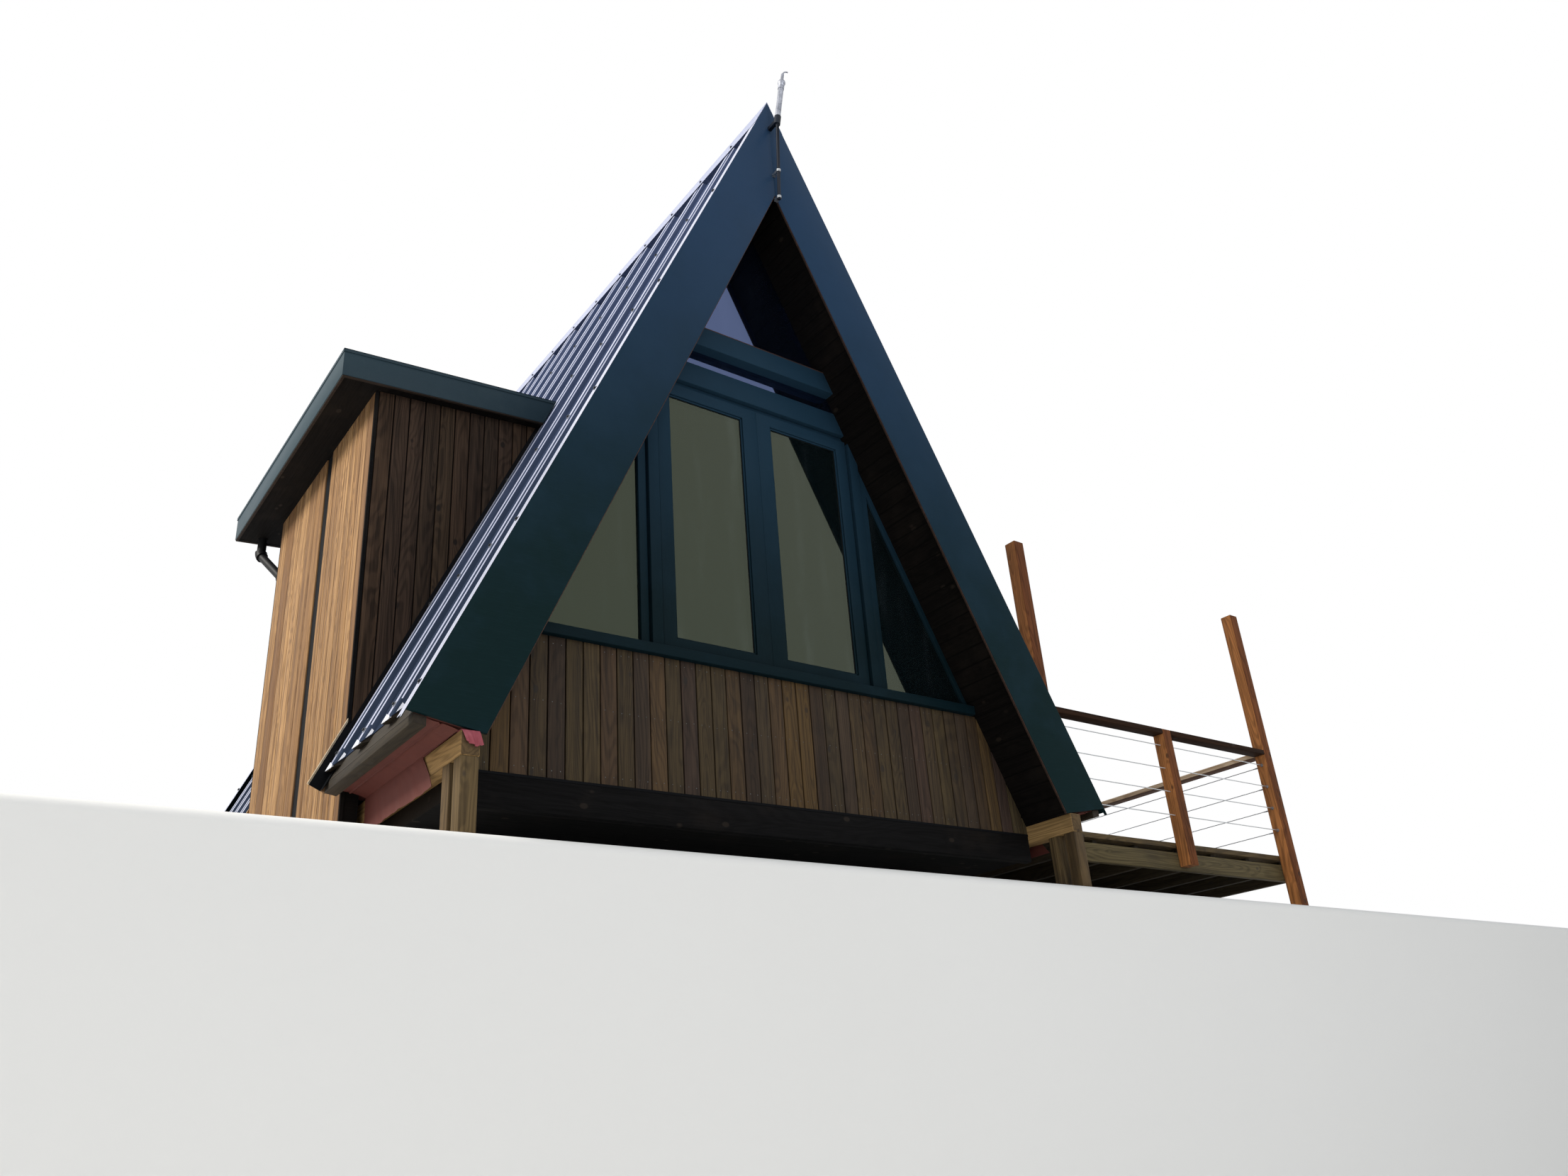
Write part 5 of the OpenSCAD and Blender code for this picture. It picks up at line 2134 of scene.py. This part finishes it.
@dataclass
class Deck:
    """Deck: beams, joists, boards, posts, top rails and wire ropes."""

    left: float = 2.65
    right: float = 5.81
    front: float = 0.56
    length: float = 3.2
    top: float = 0.0
    board_t: float = 0.045
    board_w: float = 0.145
    board_gap: float = 0.006
    stray: float = 0.004
    sag: Pair = (-0.0012, 0.0004)
    screw_rows: int = 7
    screw_in: float = 0.025
    screw_r: float = 0.0045
    post_w: float = 0.11
    rail_top: float = 0.97
    cable_first: float = 0.135
    cable_step: float = 0.205
    cables: int = 4
    cable_r: float = 0.004
    fitting: tuple[tuple[float, float, float, int, float | None], ...] = (
        (0.0, 0.006, 0.014, 18, None),
        (0.005, 0.05, 0.0075, 14, 0.0065),
        (0.05, 0.075, 0.0056, 12, 0.0044),
    )

    def boards(self) -> None:
        """Separate deck boards, each screwed down at every other joist."""
        dice = random.Random(14)
        count = round((self.length + self.board_gap) / (self.board_w + self.board_gap))
        pitch = (self.length + self.board_gap) / count
        wide = pitch - self.board_gap
        step = (self.right - self.left - 2 * self.screw_in) / (self.screw_rows - 1)
        stock = Stock()
        for i in range(count):
            y = self.front + i * pitch
            top = self.top + dice.uniform(*self.sag)
            left = self.left + dice.uniform(0.0, self.stray)
            right = self.right - dice.uniform(0.0, self.stray)
            part = block((left, y, top - self.board_t), (right, y + wide, top))
            stock.add(softened(part, 0.004), dice.random())
            for j in range(self.screw_rows):
                x = self.left + self.screw_in + j * step
                for share in (0.25, 0.75):
                    at = Vector((x, y + wide * share, top))
                    stock.add(nail(at, ABOVE, self.screw_r), finish=1)
        stock.place("deck_boards", [DECK_BOARD, ZINC], "deck_timber", ["decking"])

    def frame_timbers(self) -> None:
        """Beams, joists, posts and rails."""
        carry("deck_beams", [DECK_BEAM], "deck_timber", 0.005, seed=2)
        carry("deck_joists", [DECK_JOIST], "deck_timber", 0.004, seed=4)
        for seed, word in enumerate(("left", "mid", "corner", "back"), 30):
            # Front faces take the posts' painted shade, the other faces their painted sunlight.
            carry(f"deck_post_{word}", [POST_PAINTED_LIGHT, POST_PAINTED_SHADE], "post_timber", 0.007, 3, seed=seed,
                  choose=lambda face: int(face.normal.y < -0.7))
        carry("rail_front", [RAIL_DARK], "rail_timber", 0.006, 3, seed=41)
        # Underside and right faces take the rail's painted shade, the other faces its painted
        # sunlight.
        carry("rail_side", [RAIL_PAINTED_LIGHT, RAIL_PAINTED_SHADE], "post_timber", 0.006, 3, seed=42,
              choose=lambda face: int(face.normal.z < -0.5 or face.normal.x > 0.7))

    def ropes(self) -> None:
        """Wire ropes, each with a swaged fitting at both ends."""
        stock = Stock()
        x0, x1 = self.left + self.post_w, self.right - self.post_w
        y0, y1 = self.front, self.front + self.length
        yf, xs = self.front - self.post_w / 2, self.right - self.post_w / 2
        for i in range(self.cables):
            z = self.rail_top - self.cable_first - i * self.cable_step
            runs = ((Vector((x0, yf, z)), Vector((x1, yf, z))),
                    (Vector((xs, y0, z)), Vector((xs, y1, z))))
            for finish, (start, end) in enumerate(runs):
                stock.add(rod(start, end, self.cable_r), finish=finish)
                way = (end - start).normalized()
                for at, turn in ((start, way), (end, -way)):
                    for near, far, wide, sides, tip in self.fitting:
                        part = rod(at + turn * near, at + turn * far, wide, sides, tip)
                        stock.add(part, finish=2)
        stock.place("rail_wire_ropes", [ROPE_FRONT, ROPE_SIDE, FERRULE], "cable",
                    ["rail_cables"], smooth=38.0)

    def build(self) -> None:
        """Make every piece of the deck."""
        self.boards()
        self.frame_timbers()
        self.ropes()


@dataclass
class Set:
    """Studio: a pale floor in two levels, because the camera stands below the feet."""

    ahead: float = 0.12
    below: float = 0.001
    drop: float = 3.0
    edge: float = 0.06
    edge_steps: int = 8
    cove: float = 0.7
    cove_steps: int = 12
    half: float = 45.0
    level: float = 0.55
    sky: Colour = (0.93, 0.96, 1.0, 1.0)
    aim: tuple[float, float, float] = (-0.5, 0.0, 2.5)

    def floor(self) -> None:
        """Sweep the floor's outline sideways: top, rounded edge, face and cove."""
        part = bmesh.new()
        lip = ORIGIN.y - self.ahead
        path = [(self.half, -self.below)]
        for radius, steps, low in ((self.edge, self.edge_steps, -self.below - self.edge),
                                   (-self.cove, self.cove_steps, self.cove - self.drop)):
            for i in range(steps + 1):
                turn = i * math.pi / (2 * steps)
                if radius < 0:
                    turn = math.pi / 2 - turn
                path.append((lip + radius * (1 - math.sin(turn)), low + radius * math.cos(turn)))
        path.append((-self.half, -self.drop))
        verts = [part.verts.new((-self.half, y, z)) for y, z in path]
        edges = [part.edges.new(pair) for pair in zip(verts, verts[1:])]
        drawn_out(part, bmesh.ops.extrude_edge_only(part, edges=edges), ACROSS * 2 * self.half)
        part.faces.ensure_lookup_table()
        if part.faces[0].normal.z < 0:
            bmesh.ops.reverse_faces(part, faces=part.faces[:])
        shown("studio_floor", part, [Studio()])
        LOG.info("studio floor laid")

    def world(self) -> None:
        """White background to the eye, a calmer level as light."""
        b = Bench(bpy.data.worlds.new("studio"))
        bpy.context.scene.world = b.owner
        rays = b.node("ShaderNodeLightPath").outputs
        eye, gloss, through = (
            Level(b, rays[f"Is {kind} Ray"]) for kind in ("Camera", "Glossy", "Transmission")
        )
        dim = b.node("ShaderNodeBackground", None, {"Color": self.sky, "Strength": self.level})
        white = b.node("ShaderNodeBackground", None, {"Color": (1.0, 1.0, 1.0, 1.0)})
        share = {0: eye.most(gloss).most(through), 1: dim.outputs[0], 2: white.outputs[0]}
        mix = b.node("ShaderNodeMixShader", None, share)
        b.node("ShaderNodeOutputWorld", None, {0: mix.outputs[0]})

    def lamp(self, name: str, at: Sequence[float], power: float, size: float,
             tint: Sequence[float]) -> None:
        """Soft square lamp that faces the cabin's middle.

        Args:
            name: Name of the lamp.
            at: Its place.
            power: Watts.
            size: Side of the square.
            tint: Its colour.
        """
        data = bpy.data.lights.new(name, "AREA")
        data.energy, data.size, data.color = power, size, tint
        lamp = bpy.data.objects.new(name, data)
        bpy.context.scene.collection.objects.link(lamp)
        lamp.location = at
        lamp.rotation_mode = "QUATERNION"
        lamp.rotation_quaternion = (Vector(self.aim) - Vector(at)).to_track_quat("-Z", "Y")

    def build(self) -> None:
        """Make the floor, the world, a key lamp on the left and two weaker ones."""
        self.floor()
        self.world()
        self.lamp("key", (-18.0, 0.5, 12.0), 3900.0, 6.0, (1.0, 0.955, 0.89))
        self.lamp("fill", (-3.0, -19.0, 6.0), 650.0, 10.0, (0.93, 0.96, 1.0))
        self.lamp("back", (10.0, 15.0, 14.0), 1500.0, 9.0, (0.97, 0.98, 1.0))


@dataclass
class Viewpoint:
    """Camera at the photograph's place, in the cabin's axes and degrees."""

    at: tuple[float, float, float] = (-4.480, -5.433, -2.034)
    yaw: float = 38.16
    pitch: float = 24.86
    roll: float = -4.45
    lens: float = 27.32
    sensor: float = 36.0
    reach: Pair = (0.1, 200.0)

    def build(self) -> None:
        """Make the camera."""
        turn = Matrix.Translation(Vector(self.at) + ORIGIN)
        for angle, axis in ((-self.yaw, "Z"), (90.0 + self.pitch, "X"), (self.roll, "Z")):
            turn = turn @ Matrix.Rotation(math.radians(angle), 4, axis)
        data = bpy.data.cameras.new("camera")
        data.sensor_width, data.lens = self.sensor, self.lens
        data.clip_start, data.clip_end = self.reach
        camera = bpy.data.objects.new("camera", data)
        camera.matrix_world = turn
        bpy.context.scene.collection.objects.link(camera)
        bpy.context.scene.camera = camera


def main() -> None:
    """Build the sub-assemblies in order, then the studio and the camera."""
    logging.basicConfig(level=logging.INFO, format="%(name)s: %(message)s")
    for assembly in (Roof(), Gable(), Dormer(), Mast(), Footing(), Deck(), Set(), Viewpoint()):
        assembly.build()
        LOG.info("%s done", type(assembly).__name__)
    bpy.context.scene.view_settings.view_transform = "Standard"


if __name__ == "__main__":
    main()
